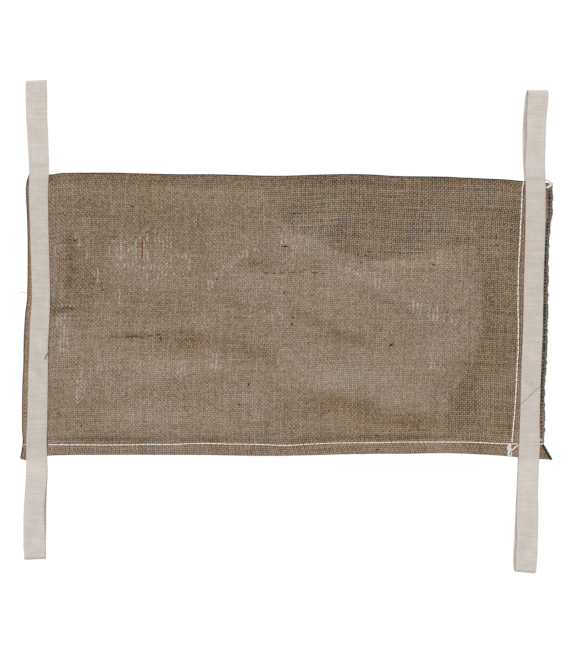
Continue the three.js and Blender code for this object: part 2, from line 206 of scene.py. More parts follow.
class Finish:
    def __init__(self, name, roughness):
        self.material = bpy.data.materials.new(name)
        self.material.use_nodes = True
        self.tree = self.material.node_tree
        self.surface = self.tree.nodes["Principled BSDF"]
        self.surface.inputs["Roughness"].default_value = roughness
        self.surface.inputs["Specular IOR Level"].default_value = 0.25

    def node(self, kind, settings=None, sockets=None, out=0):
        made = self.tree.nodes.new(kind)
        for key, value in (settings or {}).items():
            setattr(made, key, value)
        for key, value in (sockets or {}).items():
            if isinstance(value, Wire):
                self.tree.links.new(value.socket, made.inputs[key])
            else:
                made.inputs[key].default_value = value
        return Wire(self, made.outputs[out])

    def mix(self, share, a, b):
        # colours a to b by share
        return self.node("ShaderNodeMix", {"data_type": "RGBA"}, {0: share, 6: a, 7: b}, out=2)

    def tint(self, share, a, b):
        # colour a times b, by share
        settings = {"data_type": "RGBA", "blend_type": "MULTIPLY", "clamp_factor": True}
        return self.node("ShaderNodeMix", settings, {0: share, 6: a, 7: b}, out=2)

    def split(self, vector):
        made = self.node("ShaderNodeSeparateXYZ", None, {0: vector})
        return [Wire(self, output) for output in made.socket.node.outputs]

    def stretch(self, vector, scale, shift=(0, 0, 0)):
        # vector times scale plus shift
        terms = {0: vector, 1: scale, 2: shift}
        return self.node("ShaderNodeVectorMath", {"operation": "MULTIPLY_ADD"}, terms)

    def noise(self, vector, scale, detail=2.0):
        return self.node("ShaderNodeTexNoise", {"noise_dimensions": "2D"},
                         {"Vector": vector, "Scale": scale, "Detail": detail})

    def pick(self, w):
        # a random value that stays the same for each whole number
        return self.node("ShaderNodeTexWhiteNoise", {"noise_dimensions": "1D"}, {"W": w})

    def feed(self, socket, wire):
        self.tree.links.new(wire.socket, self.surface.inputs[socket])

    def bump(self, height, strength, distance):
        sockets = {"Height": height, "Strength": strength, "Distance": distance}
        self.feed("Normal", self.node("ShaderNodeBump", None, sockets))


def linear(red, green, blue):
    # a colour from 8-bit sRGB to the linear values that sockets take
    share = np.array([red, green, blue]) / 255
    low, high = share / 12.92, ((share + 0.055) / 1.055) ** 2.4
    return (*np.where(share <= 0.04045, low, high).tolist(), 1.0)


# Jute hessian: plain weave of uneven yarns, warp up the sack and weft along it

hessian = {
    "warpPitch": 2.21 * mm,
    "weftPitch": 2.31 * mm,
    "warpHalf": 0.37,  # half a yarn's width, as a share of its pitch
    "weftHalf": 0.38,
    "openness": 0.085,  # how much narrower the yarns look with nothing behind them
    "slub": 0.11,  # how much the widths vary along a yarn
    "spacing": 0.34,  # how unevenly neighbours lie
    "pairing": 0.075,  # warp yarns lie in pairs
    "wander": 4.0 * mm,  # how far yarns stray
    "checker": 0.055,  # painted light: warp on top is lighter than weft on top, as the light falls differently on the two sets
    "lean": 0.11,  # painted shading: light falling across the yarns' twist draws slanting lines, one way here and the other way there
    "speck": 0.2,  # lightness of single crossings
    "streak": 0.38,  # lightness along a yarn
    "fibre": 0.6,
    "nap": 0.8,  # light and dark tufts half a yarn wide
    "crown": 0.38,
    "cloud": 0.05,
    "shade": 1.5,
    "darkYarn": linear(14, 10, 7),
    "midYarn": linear(127, 116, 102),
    "paleYarn": linear(166, 158, 146),
    "goldTint": (1.0, 0.9, 0.6, 1.0),
    "deepTint": (1.0, 0.78, 0.62, 1.0),
    "brownTint": (1.05, 0.91, 0.75, 1.0),
    # painted shade: the gaps look dark where nothing backs the cloth, and within a pair of warps
    "gapShade": linear(21, 17, 15),
    "gapInPairShade": linear(64, 47, 30),
    "gapOverPouch": linear(127, 110, 92),
    "gapPale": linear(212, 205, 200),
    "fleckYarn": 0.03,  # yarns over a fleck look lighter too
    "fleckColumns": 0.12,  # how unevenly the columns of flecks are filled
    "fleckDots": 2.2,  # and how unevenly the dots along a column
    "fleckGain": 2.2,
    "fleckFloor": 0.86,
    "warpParts": 0.25,  # how much narrower the yarns are at a fleck
    "weftParts": 0.1,
    "gold": 0.5,  # share of golden colour in the yarns
    "goldCloud": 0.35,  # how much that varies over broad patches
    "goldYarns": 1.0,  # and from yarn to yarn
    "deep": 1.2,  # how much browner the dark places are
    "goldShade": 2.2,  # more golden where the cloth is in shade
    "goldDark": 0.95,  # and where a yarn is dark
    "goldThin": 0.12,  # and where nothing backs the cloth
    "rose": 0.75,  # each crossing has a hue of its own
    "roseTint": (1.08, 0.88, 0.98, 1.0),
}


def hessianFinish(name, look):
    cloth = Finish(name, roughness=0.92)
    flat = cloth.node("ShaderNodeUVMap", {"uv_map": "weave"})
    tone = cloth.node("ShaderNodeAttribute", {"attribute_name": "tone"})
    warm = Wire(cloth, tone.socket.node.outputs["Alpha"])
    pouch, fleck, shade = cloth.split(tone)

    # yarns stray a little from straight lines
    stray = cloth.node("ShaderNodeTexNoise", {"noise_dimensions": "2D"},
                       {"Vector": flat, "Scale": 24.0, "Detail": 2.0}, out=1)
    wander = look["wander"]
    laid = cloth.stretch(stray, (wander, wander, 0), flat)
    x, y, unused = cloth.split(laid)
    across, along = x / look["warpPitch"], y / look["weftPitch"]
    warp, weft = across.op("FLOOR", across), along.op("FLOOR", along)

    def swing(value, amount):
        return (value - 0.5) * look[amount]

    # thick and thin, light and dark places along each yarn
    def alongYarn(xPlace, yPlace):
        return cloth.noise(cloth.node("ShaderNodeCombineXYZ", None, {0: xPlace, 1: yPlace}), 1.0)

    warpSlub, weftSlub = alongYarn(warp * 3.7, y * 70.0), alongYarn(x * 70.0, weft * 3.7)
    warpTone, weftTone = alongYarn(warp * 5.3, y * 10.0), alongYarn(x * 10.0, weft * 5.3)
    weftTone = weftTone + (weftTone - 0.5) * (1.0 - pouch)
    warpHue, weftHue = alongYarn(warp * 6.7 + 0.4, y * 30.0), alongYarn(x * 30.0, weft * 6.7 + 0.4)
    warpShift, weftShift = alongYarn(warp * 9.1, y * 25.0), alongYarn(x * 25.0, weft * 9.1)

    # rows of pale flecks between the pairs, where the pouch's cover presses up and parts the yarns
    crossing = cloth.node("ShaderNodeCombineXYZ", None, {0: warp, 1: weft})
    speck = cloth.node("ShaderNodeTexWhiteNoise", {"noise_dimensions": "2D"}, {"Vector": crossing})
    pairGap = across.op("FLOOR", across * 0.5 + 0.5)
    betweenPairs = across.op("ABSOLUTE", across % 2.0 - 1.0)
    runs = alongYarn(pairGap * 7.3, y * 150.0)
    fleckRuns = swing(cloth.pick(pairGap), "fleckColumns") + swing(runs, "fleckDots")
    flecked = (fleck + fleckRuns) * look["fleckGain"] - look["fleckFloor"]
    flecked = flecked.op("MINIMUM", flecked.op("MAXIMUM", flecked, 0.0), 1.0) * (betweenPairs > 0.5)
    thin = (1.0 - pouch) * (cloth.noise(flat, 24.0, 2.0) * 3.0 - 0.5) * look["openness"]
    warpHalf = look["warpHalf"] - thin * 0.5 + swing(warpSlub, "slub")
    weftHalf = look["weftHalf"] - thin * 1.2 + swing(weftSlub, "slub")
    warpHalf = warpHalf * (1.0 - flecked * look["warpParts"])
    weftHalf = weftHalf * (1.0 - flecked * look["weftParts"])

    # each yarn is round across and rides over and under the other set in turn
    paired = (warp % 2.0 - 0.5) * (0.5 + pouch * 0.5) * (2 * look["pairing"])
    fromWarp = across - warp - 0.5 + paired + swing(warpShift, "spacing")
    fromWeft = along - weft - 0.5 + swing(weftShift, "spacing")
    side = 1.0 - (warp + weft) % 2.0 * 2.0

    def crown(distance, half):
        share = distance / half
        return share.op("SQRT", share.op("MAXIMUM", 1.0 - share * share, 0.0))

    def wave(distance):
        return distance.op("COSINE", distance * math.pi)

    warpCrown, weftCrown = crown(fromWarp, warpHalf), crown(fromWeft, weftHalf)
    onWarp, onWeft = warpCrown > 0.02, weftCrown > 0.02
    warpRide, weftRide = side * wave(fromWeft), side * wave(fromWarp) * -1.0
    warpHeight = onWarp * (1.6 + warpCrown * 0.6 + warpRide * 0.5)
    weftHeight = onWeft * (1.6 + weftCrown * 0.6 + weftRide * 0.5)
    height = warpHeight.op("MAXIMUM", warpHeight, weftHeight)
    covered = onWarp.op("MAXIMUM", onWarp, onWeft)
    warpOnTop = warpHeight > weftHeight

    def topYarn(a, b):
        return b + (a - b) * warpOnTop

    # fibres run along the yarn that is on top, and each crossing has a lightness of its own
    fibre = topYarn(cloth.noise(cloth.stretch(flat, (2600, 210, 0)), 1.0, 3.0),
                    cloth.noise(cloth.stretch(flat, (210, 2600, 0)), 1.0, 3.0))
    # painted shade: a yarn is lighter on its crown where it rides over, darker at its edges and where it dips
    # under
    crownShade = topYarn(warpCrown * (0.55 + warpRide * 0.45), weftCrown * (0.55 + weftRide * 0.45))
    cloud, nap = cloth.noise(flat, 48.0, 4.0), cloth.noise(flat, 800.0, 1.0)
    # painted shading of the twist: slanting lines, their way set by broad lumps
    sway = cloth.noise(flat, 5.0, 1.0) * 6.0 - 3.0
    sway = sway.op("MINIMUM", sway.op("MAXIMUM", sway, -1.0), 1.0)
    slantShade = across.op("COSINE", across * math.pi) * along.op("COSINE", along * math.pi) * sway
    overFleck = flecked * pouch * look["fleckYarn"]
    light = (0.5 + side * look["checker"] + slantShade * look["lean"] + overFleck + swing(speck, "speck")
             + swing(topYarn(warpTone, weftTone), "streak") + swing(fibre, "fibre")
             + swing(crownShade, "crown") + swing(cloud, "cloud") + swing(nap, "nap") + swing(shade, "shade"))
    low = cloth.mix(light * 2.0, look["darkYarn"], look["midYarn"])
    yarn = cloth.mix(light * 2.0 - 1.0, low, look["paleYarn"])
    broad = cloth.noise(flat, 14.0, 2.0)
    unused, speckRose, unused = cloth.split(Wire(cloth, speck.socket.node.outputs["Color"]))
    golden = (look["gold"] + (0.5 - shade) * look["goldShade"] + (0.5 - light) * look["goldDark"]
              - overFleck * 3.0 + (1.0 - pouch) * look["goldThin"] + swing(broad, "goldCloud")
              + swing(topYarn(warpHue, weftHue), "goldYarns"))
    yarn = cloth.tint(speckRose * look["rose"], yarn, look["roseTint"])
    yarn = cloth.tint((0.5 - light) * look["deep"], yarn, look["deepTint"])
    yarn = cloth.tint(warm, cloth.tint(golden, yarn, look["goldTint"]), look["brownTint"])

    # between the yarns: painted shade of the sack's inside, the pouch's cover, darker within a pair, or pale
    # flecks
    cover = cloth.mix(betweenPairs, look["gapInPairShade"], look["gapOverPouch"])
    gap = cloth.mix(pouch, look["gapShade"], cover)
    gap = cloth.mix(flecked * pouch, gap, look["gapPale"])
    cloth.feed("Base Color", cloth.mix(covered, gap, yarn))
    cloth.bump(height + fibre * 0.25, 0.6, 0.6 * mm)
    return cloth.material


# Cotton webbing: close plain weave with faint ribs both ways

webbing = {
    "ribPitch": 2.95 * mm,
    "pickPitch": 2.75 * mm,
    "cotton": linear(203, 197, 191),
    "shadow": linear(164, 155, 147),
    "coolTint": linear(188, 192, 188),
    "warmTint": linear(206, 190, 180),
    "tintShare": 0.14,
    "light": 0.3,
    "loopLight": 0.18,  # painted light: lighter where the loops lie on the white ground
    "ribLight": 0.7,
    "fuzz": 1.65,
    "cloud": 0.5,
    "thread": 0.5,
}


def webbingFinish(name, look):
    band = Finish(name, roughness=0.9)
    band.surface.inputs["Sheen Weight"].default_value = 0.1
    flat = band.node("ShaderNodeUVMap", {"uv_map": "weave"})
    stray = band.node("ShaderNodeTexNoise", {"noise_dimensions": "2D"},
                      {"Vector": flat, "Scale": 120.0}, out=1)
    x, y, unused = band.split(band.stretch(stray, (0.5 * mm, 0.5 * mm, 0), flat))
    rib, pick = x / look["ribPitch"], y / look["pickPitch"]
    ribWave = rib.op("ABSOLUTE", rib.op("SINE", rib * math.pi))
    pickWave = pick.op("ABSOLUTE", pick.op("SINE", pick * math.pi))
    over = (rib.op("FLOOR", rib) + pick.op("FLOOR", pick)) % 2.0
    height = ribWave * (0.45 + over * 0.3) + pickWave * (0.65 - over * 0.3)
    fuzz = band.noise(band.stretch(flat, (1500, 1500, 0)), 1.0, 3.0)
    cloud = band.noise(flat, 60.0, 3.0)
    uneven = band.noise(flat, 110.0, 2.0) * 1.6 - 0.3
    thread = band.noise(band.stretch(flat, (40, 340, 0)), 1.0, 2.0)
    # painted light: the loops lighter than the webbing on the sack, and the ribs lighter on their tops than
    # between them
    loopLightShare = band.node("ShaderNodeAttribute", {"attribute_name": "tone"}, out="Fac")
    light = (look["light"] + loopLightShare * look["loopLight"] + (height - 0.5) * uneven * look["ribLight"]
             + (fuzz - 0.5) * look["fuzz"] + (cloud - 0.5) * look["cloud"] + (thread - 0.5) * look["thread"])
    tint = band.mix(band.noise(flat, 75.0, 2.0) * 3.0 - 1.0, look["coolTint"], look["warmTint"])
    cotton = band.mix(light, look["shadow"], look["cotton"])
    band.feed("Base Color", band.mix(look["tintShare"], cotton, tint))
    band.bump(height + fuzz * 0.4, 0.4, 0.3 * mm)
    return band.material


def yarnFinish(name, dark, pale, roughness=0.9):
    # twisted thread: fine streaks between two near colours
    thread = Finish(name, roughness)
    place = thread.node("ShaderNodeTexCoord", out=3)
    streak = thread.node("ShaderNodeTexNoise", None, {"Vector": place, "Scale": 900.0, "Detail": 3.0})
    thread.feed("Base Color", thread.mix(streak, dark, pale))
    thread.bump(streak, 0.3, 0.2 * mm)
    return thread.material


juteCloth = hessianFinish("juteHessian", hessian)
cottonWebbing = webbingFinish("cottonWebbing", webbing)
whiteThread = yarnFinish("whiteThread", linear(214, 210, 206), linear(252, 250, 248))
# painted shade: the loose ends are the seams' white thread, made greyer
looseThread = yarnFinish("looseThread", linear(174, 172, 172), linear(226, 224, 222))
tackThread = yarnFinish("tackThread", linear(186, 179, 172), linear(214, 208, 202))
greenYarn = yarnFinish("greenMarkerYarn", linear(11, 23, 22), linear(46, 69, 64))
selvedgeYarn = yarnFinish("selvedgeYarn", linear(70, 72, 63), linear(138, 133, 120))
juteYarn = yarnFinish("juteYarn", linear(88, 74, 60), linear(168, 152, 134))
redYarn = yarnFinish("redYarn", linear(88, 26, 34), linear(116, 54, 52))
# painted shade: dark yarn colour for the creases' shadow
creaseShadeYarn = yarnFinish("creaseShadeYarn", linear(54, 40, 27), linear(96, 77, 57))
slubYarn = yarnFinish("darkSlub", linear(32, 23, 17), linear(58, 45, 35))
print("finishes made")


# The sack, in millimetres: outline, seams, pouch and folds

sack = {
    "columns": 280,
    "rows": 150,
    "cutWidth": 604.0,  # for the weave's map
    "cutHeight": 322.0,
    "foldedEdge": [(-296.2, 161.8), (-272, 162.2), (-258, 164.0), (-204, 164.6), (-164, 163.6), (-122, 162.8),
                   (-81, 162.7), (-12, 161.0), (42, 162.5), (72, 163.0), (97, 162.4), (125, 160.8),
                   (180, 160.0), (207, 158.7), (250, 156.8), (264, 155.4), (280, 153.7), (304, 152.5)],
    "hemEdge": [(-306.3, -163.5), (-298, -165.2), (-275, -160.3), (-214, -159.3), (-100, -159.4),
                (-60, -160.1), (-20, -160.5), (25, -159.8), (60, -158.8), (100, -158.1), (138, -158.0),
                (180, -157.3), (221, -158.7), (248, -160.4), (290, -163.9), (304.6, -164.6)],
    "turnedEdge": [(-163.5, -306.3), (-146, -303.2), (-128, -303.9), (-85, -303.6), (-57, -302.4),
                   (-25, -301.8), (5, -300.0), (20, -298.1), (74, -297.4), (114, -298.1), (135, -299.2),
                   (152, -299.0), (161.8, -296.2)],
    "selvedge": [(-164.6, 304.6), (-147, 294.4), (-138, 294.9), (-75, 295.4), (-55, 297.2), (-20, 298.3),
                 (30, 299.0), (73, 299.8), (100, 301.6), (120, 304.0), (152.5, 304)],
    "hemSeam": [(-306, -147.4), (-262, -147.6), (-185, -147.9), (-158, -147.1), (-135, -147.4),
                (-97, -146.1), (-60, -147.0), (-28, -147.4), (-2, -148.4), (26, -147.1), (54, -145.8),
                (95, -145.4), (140, -144.6), (190, -144.6), (220, -145.2), (246, -146.4), (304, -147.0)],
    "sideSeam": [(-164, 255.6), (-133, 259.0), (-96, 261.8), (-60, 263.8), (-23, 265.2), (14, 264.8),
                 (50, 265.2), (87, 267.1), (152, 270)],
    "pouchTop": [(-306, 149), (-30, 148), (-14, 128), (2, 104), (30, 90), (60, 76), (100, 66), (140, 70),
                 (185, 80), (240, 82)],
    "pouchEnd": [(-164, 176), (-115, 183), (-87, 191), (-69, 205), (-46, 220), (-20, 228), (7, 227),
                 (80, 220)],
    "hemThickness": 2.4,
    "slackThickness": 3.6,
    "pouchThickness": 4.2,
    "pouchSlope": 28.0,  # width of the slope round the pouch
    "hemSlope": 16.0,  # and in from the seams and the fold
    "sideSlope": 14.0,
    "foldSlope": 16.0,
    "leftSlack": (38.0, 66.0),  # how far from the left edge the filling starts and is full
    "rimThickness": 3.0,
    "webbingLift": 1.8,  # over the straps' back legs
    "liftFrom": 0.388,
    "liftTo": 0.425,
    "clothThickness": 1.1,
    "lipDepth": 9.0,  # how far the two layers part at a sewn edge
    "cornerLip": 1.2,  # and at a corner
    "rollInset": 1.4,
}

# ridges and troughs: half width, height, path of x, y
folds = [
    (8, 1.4, [(-90, 27), (-85, 38), (-68, 55), (-48, 69), (-25, 77)]),  # round the pouch's turned corner
    (11, -1.2, [(-47, 55), (-24, 62), (1, 62)]),
    (5, -1.2, [(-40, 50), (3, 49), (35, 54), (58, 48)]),
    (8, -1.6, [(-85, 26), (-70, 15), (-45, 8), (-10, 3)]),
    (11, -2.2, [(-6, 6), (32, -8), (61, -24), (84, -33), (104, -38)]),  # the slanting trough in the middle
    (8, -1.7, [(78, 30), (123, 10), (147, 1), (187, 1), (221, 3)]),
    (4.5, -1.2, [(-206, -23), (-174, -23), (-138, -22)]),  # the sharp crease and its soft run
    (13, -1.8, [(-150, -24), (-105, -27), (-65, -35), (-29, -47), (1, -62), (17, -80)]),
    (6, -1.7, [(-272, -8), (-264, 4), (-253, 10), (-234, 10)]),  # tucks beside the left strap
    (10, -1.6, [(-249, 112), (-248, 75), (-247, 48), (-254, 20)]),
    (10, -1.2, [(231, 76), (232, 20), (230, -16), (219, -56), (207, -85), (192, -119),
                (182, -138)]),  # past the pouch's end
    (11, -1.2, [(-219, -112), (-185, -100), (-157, -87), (-128, -78), (-86, -73), (-47, -76)]),
    (16, -1.5, [(3, -93), (38, -96), (72, -103), (112, -118), (152, -127), (187, -132)]),
    (5, -1.2, [(-22, -103), (-21, -135)]),
    (5, -1.0, [(168, -55), (207, -54)]),
    (24, 1.3, [(-214, 58), (-174, 62), (-140, 55)]),  # swells
    (20, 1.0, [(72, 50), (124, 30), (175, -16)]),
    (20, 1.3, [(-226, -56), (-157, -57), (-94, -55)]),
    (22, 1.3, [(104, -68), (152, -50), (189, -33)]),
    (16, 1.0, [(-203, -125), (-134, -117), (-54, -119)]),
]

# where the pouch's pale cover shows between the yarns: x, y, half width, half height, strength
fleckPatches = [
    # upper left
    (-267, 103, 3, 4, 0.5), (-242, 92, 3, 4, 0.6), (-238, 84, 3, 6, 0.75), (-265, 74, 5, 8, 0.7),
    (-261, 43, 3, 5, 0.65), (-229, 72, 3, 9, 0.85), (-218, 46, 4, 8, 0.9), (-191, 83, 4, 11, 0.9),
    (-186, 61, 4, 5, 0.5), (-160, 66, 44, 30, 0.6), (-146, 62, 11, 14, 0.6), (-114, 60, 4, 11, 0.7),
    (-192, 23, 4, 9, 0.7),
    # beside the left strap
    (-251, 12.4, 15, 1.8, 0.95), (-263, -8, 4, 7, 0.9), (-256, -1, 4, 5, 0.9), (-256, -26, 5, 18, 1.1),
    # round the pouch's turned corner
    (-88, 36, 5, 6, 0.9), (-80, 46, 4, 5, 0.85), (-67, 56, 7, 5, 0.7), (-49, 70, 8, 4, 0.9),
    (-36, 75, 6, 3, 0.8), (-3, 88, 5, 11, 0.8), (8, 75, 4, 9, 0.7), (-20, 0, 20, 8, 0.6),
    # right part
    (66, 49, 8, 10, 0.75), (84, 48, 6, 9, 0.7), (107, 36, 9, 8, 0.8), (175, 67, 8, 7, 0.75),
    (152, 8, 11, 7, 0.9), (169, 3, 8, 7, 0.9), (198, -6, 9, 8, 0.75), (185, -2, 10, 6, 0.7),
    (206, 30, 5, 6, 0.6), (221, -15, 3, 20, 0.6), (165, -52, 5, 10, 0.7), (-8, -50, 5, 12, 0.7),
    # lower part
    (-81, -54, 6, 12, 0.9), (-48, -65, 5, 6, 0.5), (-120, -62, 6, 10, 0.8), (-140, -61, 4, 6, 0.6),
    (-169, -59, 8, 8, 0.6), (-216, -48, 4, 22, 0.8), (-236, -80, 9, 16, 0.68), (-189, -109, 5, 6, 0.5),
    (-220, -122, 5, 5, 0.5), (175, -116, 6, 5, 0.5),
]

# painted light and shade: broad lighter and darker places over the folds, swells and edges, partly the
# cloth's own uneven tone: x, y, half width, half height, amount
lightAndShadePatches = [
    # left part
    (-248, 64, 7, 36, -0.05), (-246, 87, 12, 3.5, -0.06), (-206, 30, 30, 14, -0.03),
    (-140, 12, 46, 20, -0.03), (-268, 12, 6, 11, -0.1), (-256, 7.5, 14, 4, -0.08),
    (-147, -24, 9, 8, -0.04), (-172, -24, 18, 5, -0.05), (-120, 118, 130, 30, -0.04),
    (-254, -24, 16, 22, 0.03), (-190, 100, 80, 40, -0.03), (-236, 40, 24, 40, -0.055),
    (-122, -32, 34, 14, -0.05), (-232, 130, 26, 18, -0.03), (-120, -60, 60, 18, 0.055),
    (-180, -80, 60, 14, 0.025), (-66, -122, 24, 12, 0.02), (-210, -57, 14, 16, 0.04),
    (-160, -112, 56, 18, 0.035), (-236, -120, 24, 18, -0.035), (-200, -140.5, 74, 2.6, -0.13),
    (-35, -98, 22, 18, 0.04),
    # middle
    (25, 86, 34, 20, 0.04), (-20, 40, 44, 26, 0.05), (70, 4, 90, 20, 0.02), (-36, 58, 18, 7, -0.05),
    (-64, 60, 20, 5, 0.02), (10, -54, 26, 16, 0.04), (52, -22, 22, 10, -0.03), (105, -42, 26, 10, 0.03),
    (82, -72, 60, 20, 0.055), (40, -104, 62, 20, -0.05), (48, -74, 26, 14, 0.03), (48, 46, 28, 20, 0.03),
    # right part
    (132, -122, 52, 16, -0.05), (130, -138.5, 62, 2.6, -0.12), (35, -140, 30, 2.4, -0.08),
    (-21.5, -135, 3, 16, -0.06), (140, -98, 36, 18, 0.02), (96, 46, 34, 16, 0.025),
    (152, 12, 30, 14, 0.01), (140, 62, 56, 6, 0.03), (92, 76, 32, 5, -0.04), (165, -46, 26, 18, 0.02),
    (206, -92, 9, 30, -0.03), (240, -105, 14, 34, 0.03), (243, 10, 14, 60, -0.02), (212, 4, 22, 20, 0.03),
    (186, 36, 30, 16, 0.03),
    # corners, and above the pouch
    (-297, 122, 7, 44, -0.04), (-301, -134, 7, 14, 0.03), (-304, -162, 8, 9, -0.12),
    (297, -158, 8, 9, -0.1), (20, 112, 44, 24, 0.02), (84, 96, 34, 13, -0.035), (-250, 150, 12, 14, 0.05),
    (108, 126, 40, 24, -0.045), (215, 98, 42, 20, 0.02),
]

# tones of the face: painted shade and highlight of the folds and edges, and uneven tone, up or down from its
# base
sackTone = {
    "base": 0.505,
    "trough": 0.023,  # painted shade in the troughs, for each millimetre down
    "swell": 0.012,  # painted highlight on the ridges, for each millimetre up
    "unevenness": 0.014,
    "patchSpread": 1.6,  # a patch fades out this far past its half width
    "fleckUneven": 0.12,
    "coverEdge": 3.5,  # over how many millimetres the pouch's cover fades in, on the face
    "backCoverEdge": 9.0,  # and on the back
    "edgeBacking": 0.1,  # what backs the cloth outside the seams, as a share of the pouch's cover
    "slackBacking": 0.65,  # in the slack upper left
    "marginBacking": 0.3,  # in the margin right of the pouch
    "marginShade": -0.09,
    "foldShade": -0.07,
    "turnedShade": 0.02,
    "flangeShade": 0.08,
    "turnedYarnShade": -0.18,
    "hemShade": 0.05,
    "turnedBrown": 0.6,
    "hemBrown": 0.25,
    "aboveHemBrown": 0.15,
    "rimShade": 0.12,
}


def insideSack(x, y):
    # shares, from 0 to 1, by which a point is inside the seams, clear of the fold and clear of the left edge
    hem = ramp(y - curveThrough(sack["hemSeam"], x), 0, sack["hemSlope"])
    side = ramp(curveThrough(sack["sideSeam"], y) - x, 0, sack["sideSlope"])
    fold = ramp(curveThrough(sack["foldedEdge"], x) - y, 0, sack["foldSlope"])
    left = ramp(x - curveThrough(sack["turnedEdge"], y), *sack["leftSlack"])
    return hem * side, fold, left


def pouchShare(x, y, soft):
    # 0 outside the pouch, 1 well inside it, over a slope that is soft millimetres wide
    top = ramp(curveThrough(sack["pouchTop"], x) - y, 0, soft)
    return top * ramp(curveThrough(sack["pouchEnd"], y) - x, 0, soft)


def foldRelief(x, y):
    # sum of soft troughs and ridges: height times (1 - d^2)^2, d the distance over the half width,
    # fading to both ends
    relief = np.zeros_like(x)
    for halfWidth, height, path in folds:
        away, place = pathDistance(x, y, path)
        share = np.minimum(away / halfWidth, 1)
        relief += height * (1 - share ** 2) ** 2 * ramp(place, 0, 0.2) * ramp(1 - place, 0, 0.2)
    return relief


def sackThickness(x, y):
    # flat at the sewn edges, fuller over the pouch, uneven all over
    seams, fold, left = insideSack(x, y)
    loose = blend(sack["rimThickness"], sack["slackThickness"], fold)
    lumps = 0.5 * softNoise(x, y, 26, 3) + 0.3 * softNoise(x, y, 11, 4)
    swell = sack["pouchThickness"] * pouchShare(x, y, sack["pouchSlope"])
    full = loose + (swell + foldRelief(x, y) + lumps) * fold * left
    return blend(sack["hemThickness"], full, seams)


def sackPlan(u, v):
    # four edges blended: hem to fold by v, turned edge to selvedge by u, less the corners counted twice
    hem, fold = np.array(sack["hemEdge"], float), np.array(sack["foldedEdge"], float)
    hemX, foldX = blend(hem[0, 0], hem[-1, 0], u), blend(fold[0, 0], fold[-1, 0], u)
    leftY, rightY = blend(hem[0, 1], fold[0, 1], v), blend(hem[-1, 1], fold[-1, 1], v)
    cornerY = blend(blend(hem[0, 1], hem[-1, 1], u), blend(fold[0, 1], fold[-1, 1], u), v)
    x = blend(curveThrough(sack["turnedEdge"], leftY), curveThrough(sack["selvedge"], rightY), u)
    y = blend(curveThrough(sack["hemEdge"], hemX), curveThrough(sack["foldedEdge"], foldX), v)
    return x, y + blend(leftY, rightY, u) - cornerY


def sackLift(u):
    # nothing in the middle, the thickness of a strap's back leg near both ends
    return sack["webbingLift"] * ramp(np.abs(u - 0.5), sack["liftFrom"], sack["liftTo"])


